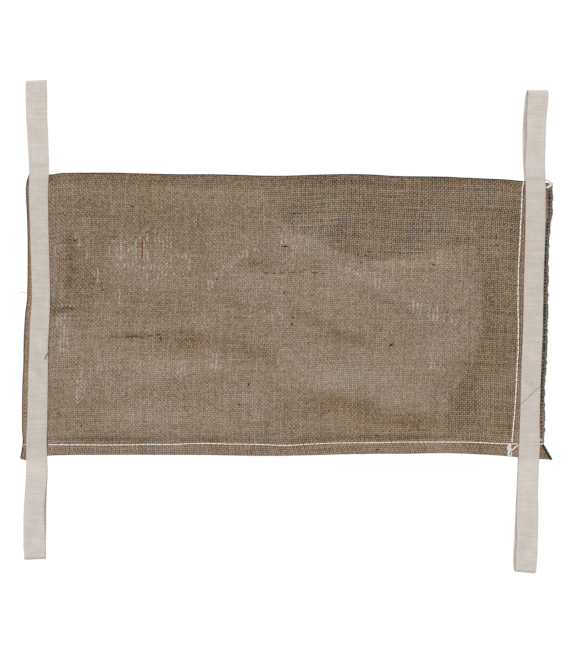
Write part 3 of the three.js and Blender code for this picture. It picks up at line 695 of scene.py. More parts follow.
def makeSack():
    # front: heights over the plan; rim: a round roll along the fold and left edge, two lips along the
    # sewn edges; back: flat on the floor, raised where the straps pass under it
    columns, rows = sack["columns"], sack["rows"]
    u, v = np.meshgrid(np.linspace(0, 1, columns + 1), np.linspace(0, 1, rows + 1))
    x, y = sackPlan(u, v)
    lift = sackLift(u)
    front = np.stack([x, y, lift + sackThickness(x, y)], axis=-1)
    back = np.stack([x, y, lift], axis=-1)

    # the rim, walked anticlockwise seen from above
    i = np.concatenate([np.arange(columns), np.full(rows, columns),
                        np.arange(columns, 0, -1), np.zeros(rows, int)])
    j = np.concatenate([np.zeros(columns, int), np.arange(rows),
                        np.full(columns, rows), np.arange(rows, 0, -1)])
    edge = front[j, i]
    ahead = np.roll(edge[:, :2], -1, axis=0) - np.roll(edge[:, :2], 1, axis=0)
    outward = np.stack([ahead[:, 1], -ahead[:, 0]], axis=-1)
    outward /= np.linalg.norm(outward, axis=1, keepdims=True)
    rimU, rimV = u[j, i], v[j, i]
    sewn = np.maximum(1 - ramp(rimV, 0.0, 0.02), ramp(rimU, 0.985, 0.995) * (1 - ramp(rimV, 0.97, 0.995)))

    # profile rows from the front over the edge to the back: inset from the outline, height
    thick = edge[:, 2] - lift[j, i]
    lipRows = 5
    profileRows = 2 * lipRows + 1
    turn = np.linspace(np.pi / 2, -np.pi / 2, profileRows)[:, None]
    rollInset = sack["rollInset"] * (1 - np.cos(turn)) + 0 * thick
    rollHeight = thick * (0.5 + 0.5 * np.sin(turn))
    layer = sack["clothThickness"]
    lipTurn = np.linspace(np.pi / 2, -np.pi / 2, lipRows)
    lipInset = layer / 2 * (1 - np.cos(lipTurn))
    cornerX = np.minimum(rimU, 1 - rimU) * sack["cutWidth"]
    cornerY = np.minimum(rimV, 1 - rimV) * sack["cutHeight"]
    lipDepth = blend(sack["cornerLip"], sack["lipDepth"], ramp(np.hypot(cornerX, cornerY), 6, 34))
    lipInset = np.concatenate([lipInset[:, None] + 0 * thick, lipDepth[None], lipInset[:, None] + 0 * thick])
    lipUp = layer * (0.5 + 0.5 * np.sin(lipTurn))[:, None]
    lipHeight = np.concatenate([thick - layer + lipUp, thick[None] / 2, lipUp + 0 * thick])
    inset = blend(rollInset, lipInset, sewn)
    height = blend(rollHeight, lipHeight, sewn)
    rim = np.empty((profileRows, len(i), 3))
    rim[:, :, :2] = edge[:, :2] - inset[:, :, None] * outward
    rim[:, :, 2] = lift[j, i] + height
    front[j, i] = rim[0]
    back[j, i] = rim[-1]

    # index the three parts so that they share their borders
    count = front[..., 0].size
    frontIndex = np.arange(count).reshape(front.shape[:2])
    rimIndex = count + np.arange((profileRows - 2) * len(i)).reshape(profileRows - 2, len(i))
    backIndex = count + rimIndex.size + frontIndex
    strips = np.concatenate([frontIndex[None, j, i], rimIndex, backIndex[None, j, i]])
    frontQuads = gridQuads(frontIndex)
    rimQuads = gridQuads(strips, wrapAcross=True)[:, [0, 3, 2, 1]]
    backQuads = gridQuads(backIndex)[:, ::-1]
    points = np.concatenate([front.reshape(-1, 3), rim[1:-1].reshape(-1, 3), back.reshape(-1, 3)]) * mm

    # weave map in metres: the front's own grain, carried on over the rim; the back has its own
    frontUv = np.stack([u * sack["cutWidth"], v * sack["cutHeight"]], axis=-1) * mm
    run = np.cumsum(np.linalg.norm(np.diff(rim, axis=0, prepend=rim[:1]), axis=2), axis=0)
    rimUv = frontUv[j, i] + outward * run[:, :, None] * mm
    rimUv = np.concatenate([rimUv, rimUv[:, :1]], axis=1)
    rimCorners = (rimUv[:-1, :-1], rimUv[1:, :-1], rimUv[1:, 1:], rimUv[:-1, 1:])
    rimLoops = np.stack(rimCorners, axis=2).reshape(-1, 2)
    frontLoops = frontUv.reshape(-1, 2)[frontQuads.ravel()]
    backLoops = frontUv.reshape(-1, 2)[frontQuads[:, ::-1].ravel()] * (1, -1)
    loopUv = np.concatenate([frontLoops, rimLoops, backLoops])
    quads = np.concatenate([frontQuads, rimQuads, backQuads])

    tone = np.zeros((len(points), 4))
    tone[:, 2] = 0.5
    tone[:count] = frontTone(x, y).reshape(-1, 4)
    tone[count:count + rimIndex.size, 2] = sackTone["rimShade"]
    tone[count + rimIndex.size:, 0] = pouchShare(x, y, sackTone["backCoverEdge"]).ravel()
    piece = addPiece("sackCloth", points, quads, juteCloth, "jute", loopUv, tone)
    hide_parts("jute_sack")
    return piece


def patchShare(x, y, middleX, middleY, halfX, halfY):
    # 1 in the middle of an oval, 0 outside it, (1 - d^2)^2 between
    spread = sackTone["patchSpread"]
    away = np.minimum(np.hypot((x - middleX) / (spread * halfX), (y - middleY) / (spread * halfY)), 1)
    return (1 - away ** 2) ** 2


def frontTone(x, y):
    # red: what backs the cloth, from nothing to the pouch's cover; green: how much of that cover shows
    # in flecks; blue: painted shade and highlight of the folds, edges and seams, with uneven tone; alpha:
    # brown cloth
    look = sackTone
    seams = insideSack(x, y)[0]
    pouch = pouchShare(x, y, look["coverEdge"])
    slackTop = look["slackBacking"] * (1 - ramp(x, -60, 20))
    margin = look["marginBacking"] * ramp(x, 200, 225) * (1 - ramp(y, 60, 100))
    backing = blend(look["edgeBacking"], np.maximum(pouch, slackTop + margin), ramp(seams, 0, 0.9))

    fleck = np.zeros_like(x)
    for middleX, middleY, halfX, halfY, strength in fleckPatches:
        share = 1.5 * patchShare(x, y, middleX, middleY, halfX, halfY)
        fleck = np.maximum(fleck, strength * np.minimum(share, 1))
    fleck = np.maximum(fleck + look["fleckUneven"] * softNoise(x, y, 7, 8), 0)

    # painted shade in the folds' troughs and painted highlight on their ridges
    relief = foldRelief(x, y)
    slope = look["trough"] * np.minimum(relief, 0) + look["swell"] * np.maximum(relief, 0)
    shade = look["base"] + slope * seams + look["unevenness"] * softNoise(x, y, 30, 9)
    for middleX, middleY, halfX, halfY, amount in lightAndShadePatches:
        shade += amount * patchShare(x, y, middleX, middleY, halfX, halfY)
    belowFold = curveThrough(sack["foldedEdge"], x) - y
    shade += look["foldShade"] * (1 - ramp(belowFold, 6, 20))
    turned = 1 - ramp(x - curveThrough(sack["turnedEdge"], y), 5, 14)
    flange = ramp(x - curveThrough(sack["sideSeam"], y), 1, 4)
    turnedYarns = ramp(x - curveThrough(sack["selvedge"], y), -5, -2.5) * ramp(y, -110, -90)
    shade += look["turnedShade"] * turned
    shade += (look["flangeShade"] + look["turnedYarnShade"] * turnedYarns) * flange
    aboveHem = y - curveThrough(sack["hemSeam"], x)
    shade += look["hemShade"] * (1 - ramp(aboveHem, 6, 20)) + look["marginShade"] * margin

    brown = np.maximum(look["turnedBrown"] * turned, flange * (1 - turnedYarns))
    brown += look["hemBrown"] * (1 - ramp(aboveHem, 0, 10))
    brown += look["aboveHemBrown"] * (1 - ramp(aboveHem, 15, 50))
    return np.stack([backing, fleck, np.clip(shade, 0, 1), brown], axis=-1)


sackPiece = makeSack()
print("sack laid out:", len(sackPiece.data.polygons), "quads")


# Straps: a closed loop of webbing, front leg over the sack, back leg under it

strapCut = {
    "width": 23.0,
    "thickness": 1.5,
    "loopGap": 5.6,
    "clearance": 0.3,
    "bend": 20.0,  # from the sack's edge to the open loop
    "seatReach": (20.0, 9.0),  # how far beside and along the webbing it bears on the cloth
    "slantReach": 30.0,
    "legRings": 150,
    "foldRings": 10,
}

# route of the front leg: y, x of its middle, width; aside, the back leg: y, how far it lies to one side;
# slant of the lower and upper end; tacks: y, from x, to x
straps = {
    "strapLeft": {
        "node": "strap_left",
        "route": [(-279, -288.4, 24.4), (-262, -289.2, 24.8), (-239, -289.6, 24.2), (-216, -289.4, 23.3),
                  (-182, -286.8, 24.2), (-147, -287.0, 23.6), (-120, -286.1, 23), (-65, -285.0, 22.6),
                  (-37, -284.5, 21.5), (-10, -283.4, 22), (18, -281.9, 21), (59, -282.6, 21),
                  (100, -283.7, 21.2), (141, -284.6, 22.2), (165, -284.0, 22.6), (184, -284.4, 23.2),
                  (207, -285.4, 24), (230, -286.5, 24.2), (253, -286.9, 24.6), (270.2, -287.1, 24)],
        "aside": [(-279, -0.2), (-262, 0), (-239, 1.2), (-216, 1.6), (-195, 0.3), (-165, -0.2), (165, -0.5),
                  (195, -0.7), (270.2, -0.7)],
        "slant": (0.045, 0.06),
        "tacks": [(148.6, -277.6, -273.8), (143.1, -287.4, -279.4), (-142.7, -290.8, -287.4),
                  (-150, -289.7, -281.7)],
    },
    "strapRight": {
        "node": "strap_right",
        "route": [(-294, 273.2, 23.4), (-278, 274.2, 24.4), (-256, 275.1, 24.2), (-228, 275.4, 24.6),
                  (-193, 275.8, 23.6), (-147, 277.9, 24), (-120, 278.2, 22.6), (-65, 279.7, 22.7),
                  (-10, 281.8, 22.6), (45, 282.9, 22.6), (86, 284.2, 22.8), (127, 284.9, 23.2),
                  (155, 284.7, 23.2), (173, 284.0, 23), (201, 285.2, 21.8), (224, 285.7, 22.4),
                  (247, 287.4, 23.4), (259, 288.2, 23)],
        "aside": [(-294, -1.3), (-278, -2.5), (-256, -2.3), (-228, -1.2), (-193, -0.4), (-165, -0.4),
                  (155, -0.8), (173, -1.6), (201, -4.0), (224, -3.7), (247, -2.9), (259, -2.0)],
        "slant": (-0.09, 0.0),
        "tacks": [(158, 274.2, 294.3), (-147.4, 273.7, 281.7)],
    },
}


def seatHeight(x, y):
    # the highest cloth under and close beside the webbing
    reachX, reachY = strapCut["seatReach"]
    heights = []
    for across in (-1, -0.5, 0, 0.5, 1):
        for along in (-1, -0.5, 0, 0.5, 1):
            atX, atY = x + across * reachX, y + along * reachY
            overHem = atY > curveThrough(sack["hemEdge"], atX)
            underFold = atY < curveThrough(sack["foldedEdge"], atX)
            heights.append(np.where(overHem & underFold, sackThickness(atX, atY), 0))
    return sack["webbingLift"] + np.max(heights, axis=0) + strapCut["clearance"]


def frontLeg(strap, y):
    # middle and height of the leg on the face: on the sack it lies on the cloth, past it the loop stands open
    half = strapCut["thickness"] / 2
    x = curveThrough([row[:2] for row in strap["route"]], y)
    hem, fold = curveThrough(sack["hemEdge"], x), curveThrough(sack["foldedEdge"], x)
    onSack = ramp(y, hem - strapCut["bend"], hem) * (1 - ramp(y, fold, fold + strapCut["bend"]))
    seat = seatHeight(x, np.clip(y, hem + 6, fold - 6)) + half
    return x, blend(strapCut["loopGap"] + 3 * half, seat, onSack)


def makeStrap(name, strap):
    # a rounded band section carried round a long flat ring: front leg, fold, back leg, fold
    half = strapCut["thickness"] / 2
    turnRadius = (strapCut["loopGap"] + strapCut["thickness"]) / 2
    yLow = strap["route"][0][0] + turnRadius + half
    yHigh = strap["route"][-1][0] - turnRadius - half
    y = np.linspace(yLow, yHigh, strapCut["legRings"])
    frontX, frontZ = frontLeg(strap, y)
    backX = frontX + curveThrough(strap["aside"], y)
    front = np.stack([frontX, y, frontZ], axis=-1)
    back = np.stack([backX, y, 0 * y + half], axis=-1)[::-1]
    share = np.arange(1, strapCut["foldRings"])[:, None] / strapCut["foldRings"]
    angle = np.pi * share

    def turnAt(first, second, out):
        x = blend(first[0], second[0], share)
        z = half + turnRadius + out * turnRadius * np.cos(angle)
        return np.concatenate([x, first[1] + out * turnRadius * np.sin(angle), z], axis=1)

    middle = np.concatenate([front, turnAt(front[-1], back[0], 1), back, turnAt(back[-1], front[0], -1)])
    along = np.roll(middle, -1, axis=0) - np.roll(middle, 1, axis=0)
    along[:, 0] = 0
    along /= np.linalg.norm(along, axis=1, keepdims=True)
    out = np.stack([0 * along[:, 0], -along[:, 2], along[:, 1]], axis=-1)

    # section: flat faces with a thinner rounded edge, walked once round
    flat = strapCut["width"] / 2 - half
    faceAcross = np.linspace(-flat, flat, 9)
    edgeTurn = np.linspace(np.pi / 2, -np.pi / 2, 7)[1:-1]
    edgeAcross, edgeUp = flat + half * np.cos(edgeTurn), half * np.sin(edgeTurn)
    faceUp = np.full(len(faceAcross), half)
    across = np.concatenate([faceAcross, edgeAcross, -faceAcross, -edgeAcross])
    up = np.concatenate([faceUp, edgeUp, -faceUp, -edgeUp])
    points = middle[:, None] + up[None, :, None] * out[:, None]
    wide = curveThrough([(row[0], row[2] / strapCut["width"]) for row in strap["route"]], middle[:, 1])
    points[:, :, 0] += wide[:, None] * across
    slantLow, slantHigh = strap["slant"]
    slant = (slantLow * (1 - ramp(middle[:, 1], yLow, yLow + strapCut["slantReach"]))
             + slantHigh * ramp(middle[:, 1], yHigh - strapCut["slantReach"], yHigh))
    points[:, :, 1] += slant[:, None] * across
    index = np.arange(points[..., 0].size).reshape(points.shape[:2])
    quads = gridQuads(index, wrapAcross=True, wrapAlong=True)[:, ::-1]

    # weave map: along the band and round its section
    step = np.linalg.norm(np.roll(middle, -1, axis=0) - middle, axis=1)
    length = np.concatenate([[0], np.cumsum(step)])
    side = np.hypot(np.diff(across, append=across[0]), np.diff(up, append=up[0]))
    girth = np.concatenate([[0], np.cumsum(side)])
    uv = np.stack(np.meshgrid(girth, length), axis=-1) * mm
    corners = (uv[:-1, :-1], uv[:-1, 1:], uv[1:, 1:], uv[1:, :-1])
    loopUv = np.stack(corners[::-1], axis=2).reshape(-1, 2)
    hem = curveThrough(sack["hemEdge"], middle[:, 0])
    fold = curveThrough(sack["foldedEdge"], middle[:, 0])
    past = np.maximum(hem - middle[:, 1], middle[:, 1] - fold)
    # painted light: the loops past the sack's edges are marked to be lighter
    loopLightShare = np.broadcast_to(ramp(past, -4, 12)[:, None, None], points.shape[:2] + (4,))
    piece = addPiece(name, points * mm, quads, cottonWebbing, "webbing", loopUv, loopLightShare)
    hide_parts(strap["node"])


for strapName, strapRow in straps.items():
    makeStrap(strapName, strapRow)
    print(strapName, "folded round the sack")


# Sewing: white thread in long stitches

stitching = {
    "length": 6.25,
    "gap": 0.1,
    "hemRun": (-274.6, 265.2),  # x of the hem's first and last stitch
    "sideRun": (-145.5, 147.2),  # y of the side's
    "outerStitch": [(-303.2, -148.2), (-298.0, -146.9)],  # beyond the left strap
    "hemThread": 0.5,  # radius
    "sideThread": 0.6,
    "outerThread": 0.25,
    "looseThread": 0.98,
    "backThread": 0.35,
    "backShift": 3.0,  # stitches on the back lie between those on the face
    "rings": 9,
    "looseRings": 40,
    "tackLength": 2.9,
    "tackGap": 0.7,
    "tackThread": 0.32,
}

# loose ends of the thread, each a line through x, y, height above the cloth
threadEnds = [
    # the knot left of the right strap
    [(256, -146, 0.4), (254.2, -148.9, 0.7), (253.7, -151.7, 0.6), (255.7, -154.1, 0.9),
     (258.5, -153.4, 1.1), (261.1, -150.9, 0.7), (263.4, -149.5, 0.5), (265.2, -148.4, 0.3)],
    [(256.5, -146.6, 0.5), (256, -150, 1.0), (254.5, -152.9, 0.5), (253.7, -155.7, 0.6),
     (254.4, -158.9, 0.5), (256.7, -159.8, 0.6), (257.2, -157.1, 0.9), (254.9, -155.9, 1.1),
     (253.3, -159.2, 0.7), (254.4, -160.5, 0.3)],
    [(256.3, -147.7, 0.4), (253.3, -149.8, 0.9), (253, -152.5, 1.2), (255.1, -154.6, 0.4),
     (256.7, -152.3, 0.5), (255.3, -149.3, 1.1)],
    # by the upper right corner
    [(296.8, 155.2, 0.3), (298, 155.8, 0.6), (299.5, 155, 0.6), (302, 153, 0.5), (303.9, 151.6, 0.7),
     (302.3, 150.1, 0.9), (299.5, 148.6, 0.6), (297.2, 147, 0.2)],
    [(300, 151.1, 0.3), (302.7, 152.7, 0.9), (304.3, 150.7, 0.5), (301.4, 148.4, 0.5), (297.9, 146.7, 0.3)],
    [(269.9, 146.8, 0.2), (270.6, 150.5, 0.5), (271.4, 153.4, 0.1)],
    # right of the right strap
    [(290.4, -141.7, 0.2), (291.2, -142.2, 0.6), (291.8, -143, 0.3)],
    [(290.2, -146.6, 0.3), (291.6, -146.9, 0.6), (293.1, -146, 0.4)],
]


def clothTop(x, y):
    # height of the sack's face, with u taken from how far x is between the two ends
    left, right = curveThrough(sack["turnedEdge"], y), curveThrough(sack["selvedge"], y)
    return sackLift((x - left) / (right - left)) + sackThickness(x, y)


def stitchRow(startX, startY, endX, endY, floor, radius):
    # one low arch of thread for each stitch, half sunk, thin where it goes in
    share = np.linspace(0, 1, stitching["rings"])
    x = blend(startX[:, None], endX[:, None], share)
    y = blend(startY[:, None], endY[:, None], share)
    ends = np.abs(2 * share - 1) ** 8
    z = floor(x, y) + radius * (0.6 - 0.7 * ends)
    return tubeRuns(np.stack([x, y, z], axis=-1) * mm, radius * np.sqrt(1.12 - ends) * mm, 6)


def threadPath(rows, rings):
    # a smooth line through x, y, height rows, at even steps
    rows = np.array(rows, float)
    away = np.concatenate([[0], np.cumsum(np.linalg.norm(np.diff(rows, axis=0), axis=1))])
    at = np.linspace(0, away[-1], rings)
    x, y, height = (curveThrough(np.stack([away, column], axis=-1), at) for column in rows.T)
    return np.stack([x, y, clothTop(x, y) + height], axis=-1)


def backFace(x, y):
    # level on which the stitches show under the sack
    return clothTop(x, y) - sackThickness(x, y) + 0.1


def seamStitches():
    # holes at even steps with a little jitter, and one stitch from each hole to the next
    look = stitching
    pitch, gap, shift, back = look["length"], look["gap"], look["backShift"], look["backThread"]
    first, last = look["hemRun"]
    x = np.arange(first, last - pitch / 2, pitch)
    hemX = np.append(x + dice.uniform(-0.5, 0.5, len(x)), last)
    hemY = curveThrough(sack["hemSeam"], hemX) + dice.uniform(-0.15, 0.15, len(hemX))
    first, last = look["sideRun"]
    y = np.arange(first, last - pitch / 2, pitch)
    sideY = np.append(y + dice.uniform(-0.5, 0.5, len(y)), last)
    sideX = curveThrough(sack["sideSeam"], sideY) + dice.uniform(-0.2, 0.2, len(sideY))
    outerX, outerY = np.array(look["outerStitch"]).T
    parts = [
        stitchRow(outerX[:1], outerY[:1], outerX[1:], outerY[1:], clothTop, look["outerThread"]),
        stitchRow(hemX[:-1], hemY[:-1], hemX[1:] - gap, hemY[1:], clothTop, look["hemThread"]),
        stitchRow(sideX[:-1], sideY[:-1], sideX[1:], sideY[1:] - gap, clothTop, look["sideThread"]),
        stitchRow(hemX[:-1] + shift, hemY[:-1], hemX[1:] + shift - gap, hemY[1:], backFace, back),
        stitchRow(sideX[:-1], sideY[:-1] + shift, sideX[1:], sideY[1:] + shift - gap, backFace, back),
    ]
    ends = np.stack([threadPath(rows, look["looseRings"]) for rows in threadEnds])
    addPiece("threadEnds", *tubeRuns(ends * mm, look["looseThread"] * mm, 6), looseThread, "webbing")
    addPiece("seamStitches", *joinParts(parts), whiteThread, "webbing")


def strapTacks():
    # short stitches across each strap where it is sewn to the sack
    parts = []
    for strap in straps.values():
        def bandTop(x, y):
            return frontLeg(strap, y)[1] + strapCut["thickness"] / 2

        for y, fromX, toX in strap["tacks"]:
            x = np.arange(fromX, toX, stitching["tackLength"])
            rowY = y + dice.uniform(-0.3, 0.3, len(x))
            endX = x + stitching["tackLength"] - stitching["tackGap"]
            parts.append(stitchRow(x, rowY, endX, rowY, bandTop, stitching["tackThread"]))
    addPiece("strapTacks", *joinParts(parts), tackThread, "webbing")


seamStitches()
strapTacks()
print("seams sewn")


# Selvedge: weft yarns turn back along the right edge, and a dark green yarn runs beside them

selvedgeCut = {
    "pitch": 4.07,
    "turnDepth": 4.6,
    "turnHalf": 1.0,
    "turnYarn": 0.75,  # radius
    "markerInset": 3.3,
    "markerLength": 2.5,
    "markerYarn": 0.98,
    "cornerMarks": [(293.9, -149.2), (296.5, -153.7), (299.0, -158.0), (301.5, -162.3)],
    "cornerMarkRun": (-1.6, 2.8),  # half of a bit's run, along x and y
    "cornerMarkYarn": 1.6,
    "cornerTurns": [(295.8, -150.2), (297.6, -153.6), (299.6, -157.0), (302.0, -161.0)],
    "cornerTurnRun": (-0.7, 1.2),
    "cornerTurnYarn": 0.9,
}


def shortYarns(x, y, lean, half, thick):
    # fat bits of yarn that lean a little and go down at both ends
    share = np.linspace(-1, 1, 7)
    runX, runY = x[:, None] + lean[:, None] * share, y[:, None] + half[:, None] * share
    run = np.stack([runX, runY, clothTop(runX, runY) - 0.5 * share ** 4], axis=-1)
    return tubeRuns(run * mm, thick[:, None] * np.sqrt(1.05 - share ** 4) * mm, 6)


def selvedgeTurns(look):
    # a U of yarn for each turn: legs along x, a round tip just past the edge; on the upper layer and on
    # the lower; then short bits along the flared corner
    y = np.arange(-144, 150, look["pitch"])
    y = y + dice.uniform(-0.4, 0.4, len(y))
    tip = curveThrough(sack["selvedge"], y) + dice.uniform(-0.5, 0.7, len(y))
    turn = np.linspace(-1, 1, 11) * np.pi / 2
    inset = look["turnDepth"] * (1 - np.maximum(np.cos(turn), 0) ** 0.6)
    x = tip[:, None] - inset
    y = y[:, None] + look["turnHalf"] * np.sin(turn)
    radius = look["turnYarn"] * dice.uniform(0.85, 1.15, (len(tip), 1))
    upper = np.stack([x, y, clothTop(x, y) - 0.42], axis=-1)
    lower = np.stack([x, y + look["pitch"] / 2, clothTop(x, y) - sackThickness(x, y) + 0.45], axis=-1)
    parts = [tubeRuns(layer * mm, np.broadcast_to(radius, x.shape) * mm, 6) for layer in (upper, lower)]
    cornerX, cornerY = np.array(look["cornerTurns"]).T
    lean, half = (np.full(len(cornerX), run) for run in look["cornerTurnRun"])
    parts.append(shortYarns(cornerX, cornerY, lean, half, np.full(len(cornerX), look["cornerTurnYarn"])))
    addPiece("selvedgeTurns", *joinParts(parts), selvedgeYarn, "jute")


def selvedgeMarker(look):
    # dark floats: short fat bits of yarn that lean a little, then a slanting row along the flared corner
    y = np.arange(-146, 147, look["pitch"])
    y = y + dice.uniform(-0.3, 0.3, len(y))
    x = curveThrough(sack["selvedge"], y) - look["markerInset"] + dice.uniform(-0.25, 0.25, len(y))
    lean = dice.uniform(0.1, 0.5, len(y))
    thick = look["markerYarn"] * dice.uniform(0.8, 1.45, len(y)) * (0.75 + 0.25 * ramp(y, -115, -95))
    half = look["markerLength"] / 2 * thick / look["markerYarn"]
    cornerX, cornerY = np.array(look["cornerMarks"]).T
    cornerLean, cornerHalf = (np.full(len(cornerX), run) for run in look["cornerMarkRun"])
    cornerThick = look["cornerMarkYarn"] * dice.uniform(0.85, 1.1, len(cornerX))
    edge, corner = (x, y, lean, half, thick), (cornerX, cornerY, cornerLean, cornerHalf, cornerThick)
    yarns = [np.concatenate(pair) for pair in zip(edge, corner)]
    addPiece("selvedgeMarker", *shortYarns(*yarns), greenYarn, "jute")


selvedgeTurns(selvedgeCut)
selvedgeMarker(selvedgeCut)
print("selvedge woven")


# Odd yarns: slubs, stray coloured yarns and loose hairs

# thick dark places: x, y, length, degrees from the x axis, radius
darkSlubs = [
    (-2.7, 79.7, 8, 0, 0.85), (119.1, -33.2, 4.2, 20, 1.05), (-146.6, -21.2, 5.5, 5, 0.75),
    (-144.6, -26.5, 5, 95, 0.6), (167.7, 58.4, 4.5, -20, 0.72), (8.6, 117.4, 4, 0, 0.85),
    (14.4, 117.4, 2.6, 0, 0.7), (102.5, -136.8, 4.5, 0, 0.6), (84.7, -136.8, 3, 0, 0.45),
    (88.4, -136.8, 3, 0, 0.45), (103.5, -153.4, 4, 10, 0.7), (5.9, -9.4, 4.5, 75, 0.68),
    (6.9, -1.7, 3, 0, 0.68), (-44.1, -78.6, 4, 80, 0.85), (-54.4, -101.3, 3, 30, 0.7),
    (-233, 135.1, 3, 80, 0.72), (-176.3, 125.4, 4, 10, 0.75), (-235.3, -126, 3, 85, 0.62),
    (205, -55, 3.4, 45, 0.55), (-2.9, 26.3, 3, 60, 0.68), (-80.7, 42.4, 3, 80, 0.65),
    (85.3, 61.3, 3, 60, 0.6), (82, 70.4, 3, 70, 0.45), (91, 69.3, 3, 0, 0.45),
    (215.8, -97.9, 2.6, 0, 0.5), (240.5, 81.3, 5, 0, 0.6), (239.8, 90.5, 7, 90, 0.45),
    (198, 40, 3.5, 60, 0.5), (-211.4, 29.8, 3.4, 20, 0.6),
]

# painted shade: dark yarns sunk along the sharpest creases, in the same columns, stand in for their shadow
creaseShadeYarns = [
    (-199, -23.7, 10, 0, 0.45), (-190, -24.1, 10, 3, 0.55), (-181, -23.5, 11, 4, 0.66),
    (-173.5, -23.2, 8, -4, 0.7), (-167, -24.2, 7, -8, 0.7), (-157, -22.6, 10, 6, 0.5),
    (-24, 49.4, 8, 2, 0.6), (-15, 48.9, 7, -2, 0.66), (-6, 49.3, 8, 0, 0.55), (6, 50, 8, 2, 0.5),
    (16, 50.4, 7, 0, 0.5), (32, 49.6, 9, -2, 0.5), (42, 49, 8, -2, 0.45),
    (-266, 5, 5, 50, 0.5), (-257, 8, 6, 10, 0.5), (-248, 9.2, 7, 3, 0.55), (-249, 87.5, 5, 0, 0.5),
    (-243, 86.6, 5, 6, 0.55),
]

# one long pale yarn, in the same columns
longSlubs = [(142.6, 123.7, 38, 0, 0.7)]

# red warp yarns that show on the face in dashes: x, low y, high y, how far they rise
redRuns = [(-165.4, 66.5, 86.5, 0.1), (-101.9, 100.8, 114.5, -0.15)]

# single fibres that lie across the straps: strap, from x and y, to x and y, radius
strapFibres = [
    ("strapRight", (267.4, -101.4), (290.2, -80.4), 0.22),
    ("strapLeft", (-272.6, -39), (-277.8, -49.4), 0.42),
    ("strapLeft", (-273.4, -40), (-276.2, -50.2), 0.36),
    ("strapLeft", (-283.6, 88), (-282, 88.4), 0.2),
]

looseYarns = {
    "weftSlubs": 34,
    "warpSlubs": 18,
    "faceHairs": 420,
    "edgeHairs": 170,
    "hair": 0.07,  # radius
    "redYarn": 0.52,
    "edgeFibre": 0.2,
}


def lyingYarns(x, y, length, angle, radius, rise):
    # straight bits of yarn that follow the cloth, pointed and sunk at both ends
    share = np.linspace(-1, 1, 9)
    runX = x[:, None] + length[:, None] / 2 * np.cos(angle)[:, None] * share
    runY = y[:, None] + length[:, None] / 2 * np.sin(angle)[:, None] * share
    taper = np.sqrt(1.03 - share ** 2)
    run = np.stack([runX, runY, clothTop(runX, runY) + rise - 0.2 * share ** 2], axis=-1)
    return tubeRuns(run * mm, radius[:, None] * taper * mm, 6)


def yarnRows(rows, rise):
    # a bit of yarn for each row of x, y, length, degrees, radius
    x, y, length, degrees, radius = np.array(rows, float).T
    return lyingYarns(x, y, length, np.radians(degrees), radius, rise)


def addSlubs(look):
    addPiece("darkSlubs", *yarnRows(darkSlubs, 0.1), slubYarn, "jute")
    addPiece("creaseShadeYarns", *yarnRows(creaseShadeYarns, 0), creaseShadeYarn, "jute")
    weft, warp = look["weftSlubs"], look["warpSlubs"]
    x, y = dice.uniform(-262, 250, weft + warp), dice.uniform(-140, 150, weft + warp)
    angle = np.concatenate([dice.normal(0, 0.02, weft), np.pi / 2 + dice.normal(0, 0.02, warp)])
    length, radius = dice.uniform(6, 22, weft + warp), dice.uniform(0.4, 0.62, weft + warp)
    pale = lyingYarns(x, np.minimum(y, 148), length, angle, radius, -0.16)
    addPiece("juteSlubs", *joinParts([pale, yarnRows(longSlubs, -0.12)]), juteYarn, "jute")


def addRedYarns(look):
    # straight runs that dip under a weft yarn and rise over the next
    runs = []
    for x, low, high, rise in redRuns:
        y = np.linspace(low, high, 41)
        x = np.full(len(y), x)
        overUnder = np.cos(y * np.pi * mm / hessian["weftPitch"])
        runs.append(np.stack([x, y, clothTop(x, y) + rise + 0.35 * overUnder], axis=-1))
    addPiece("redYarns", *tubeRuns(np.stack(runs) * mm, look["redYarn"] * mm, 6), redYarn, "jute")


def addStrayFibres(look):
    # fibres with a slight wave: one stands out at the left edge, the others lie on the straps
    share = np.linspace(0, 1, 15)
    edgeX, edgeY = blend(-296.5, -306.9, share), blend(25.2, 27.5, share) + 0.5 * np.sin(3 * share)
    runs = [np.stack([edgeX, edgeY, 3.6 - 0.9 * share], axis=-1)]
    for name, (fromX, fromY), (toX, toY), radius in strapFibres:
        x, y = blend(fromX, toX, share) + 0.4 * np.sin(7 * share), blend(fromY, toY, share)
        z = frontLeg(straps[name], y)[1] + strapCut["thickness"] / 2 + 0.1
        runs.append(np.stack([x, y, z], axis=-1))
    thick = np.array([[look["edgeFibre"]]] + [[row[-1]] for row in strapFibres])
    addPiece("strayFibres", *tubeRuns(np.stack(runs) * mm, thick * mm, 6), juteYarn, "jute")


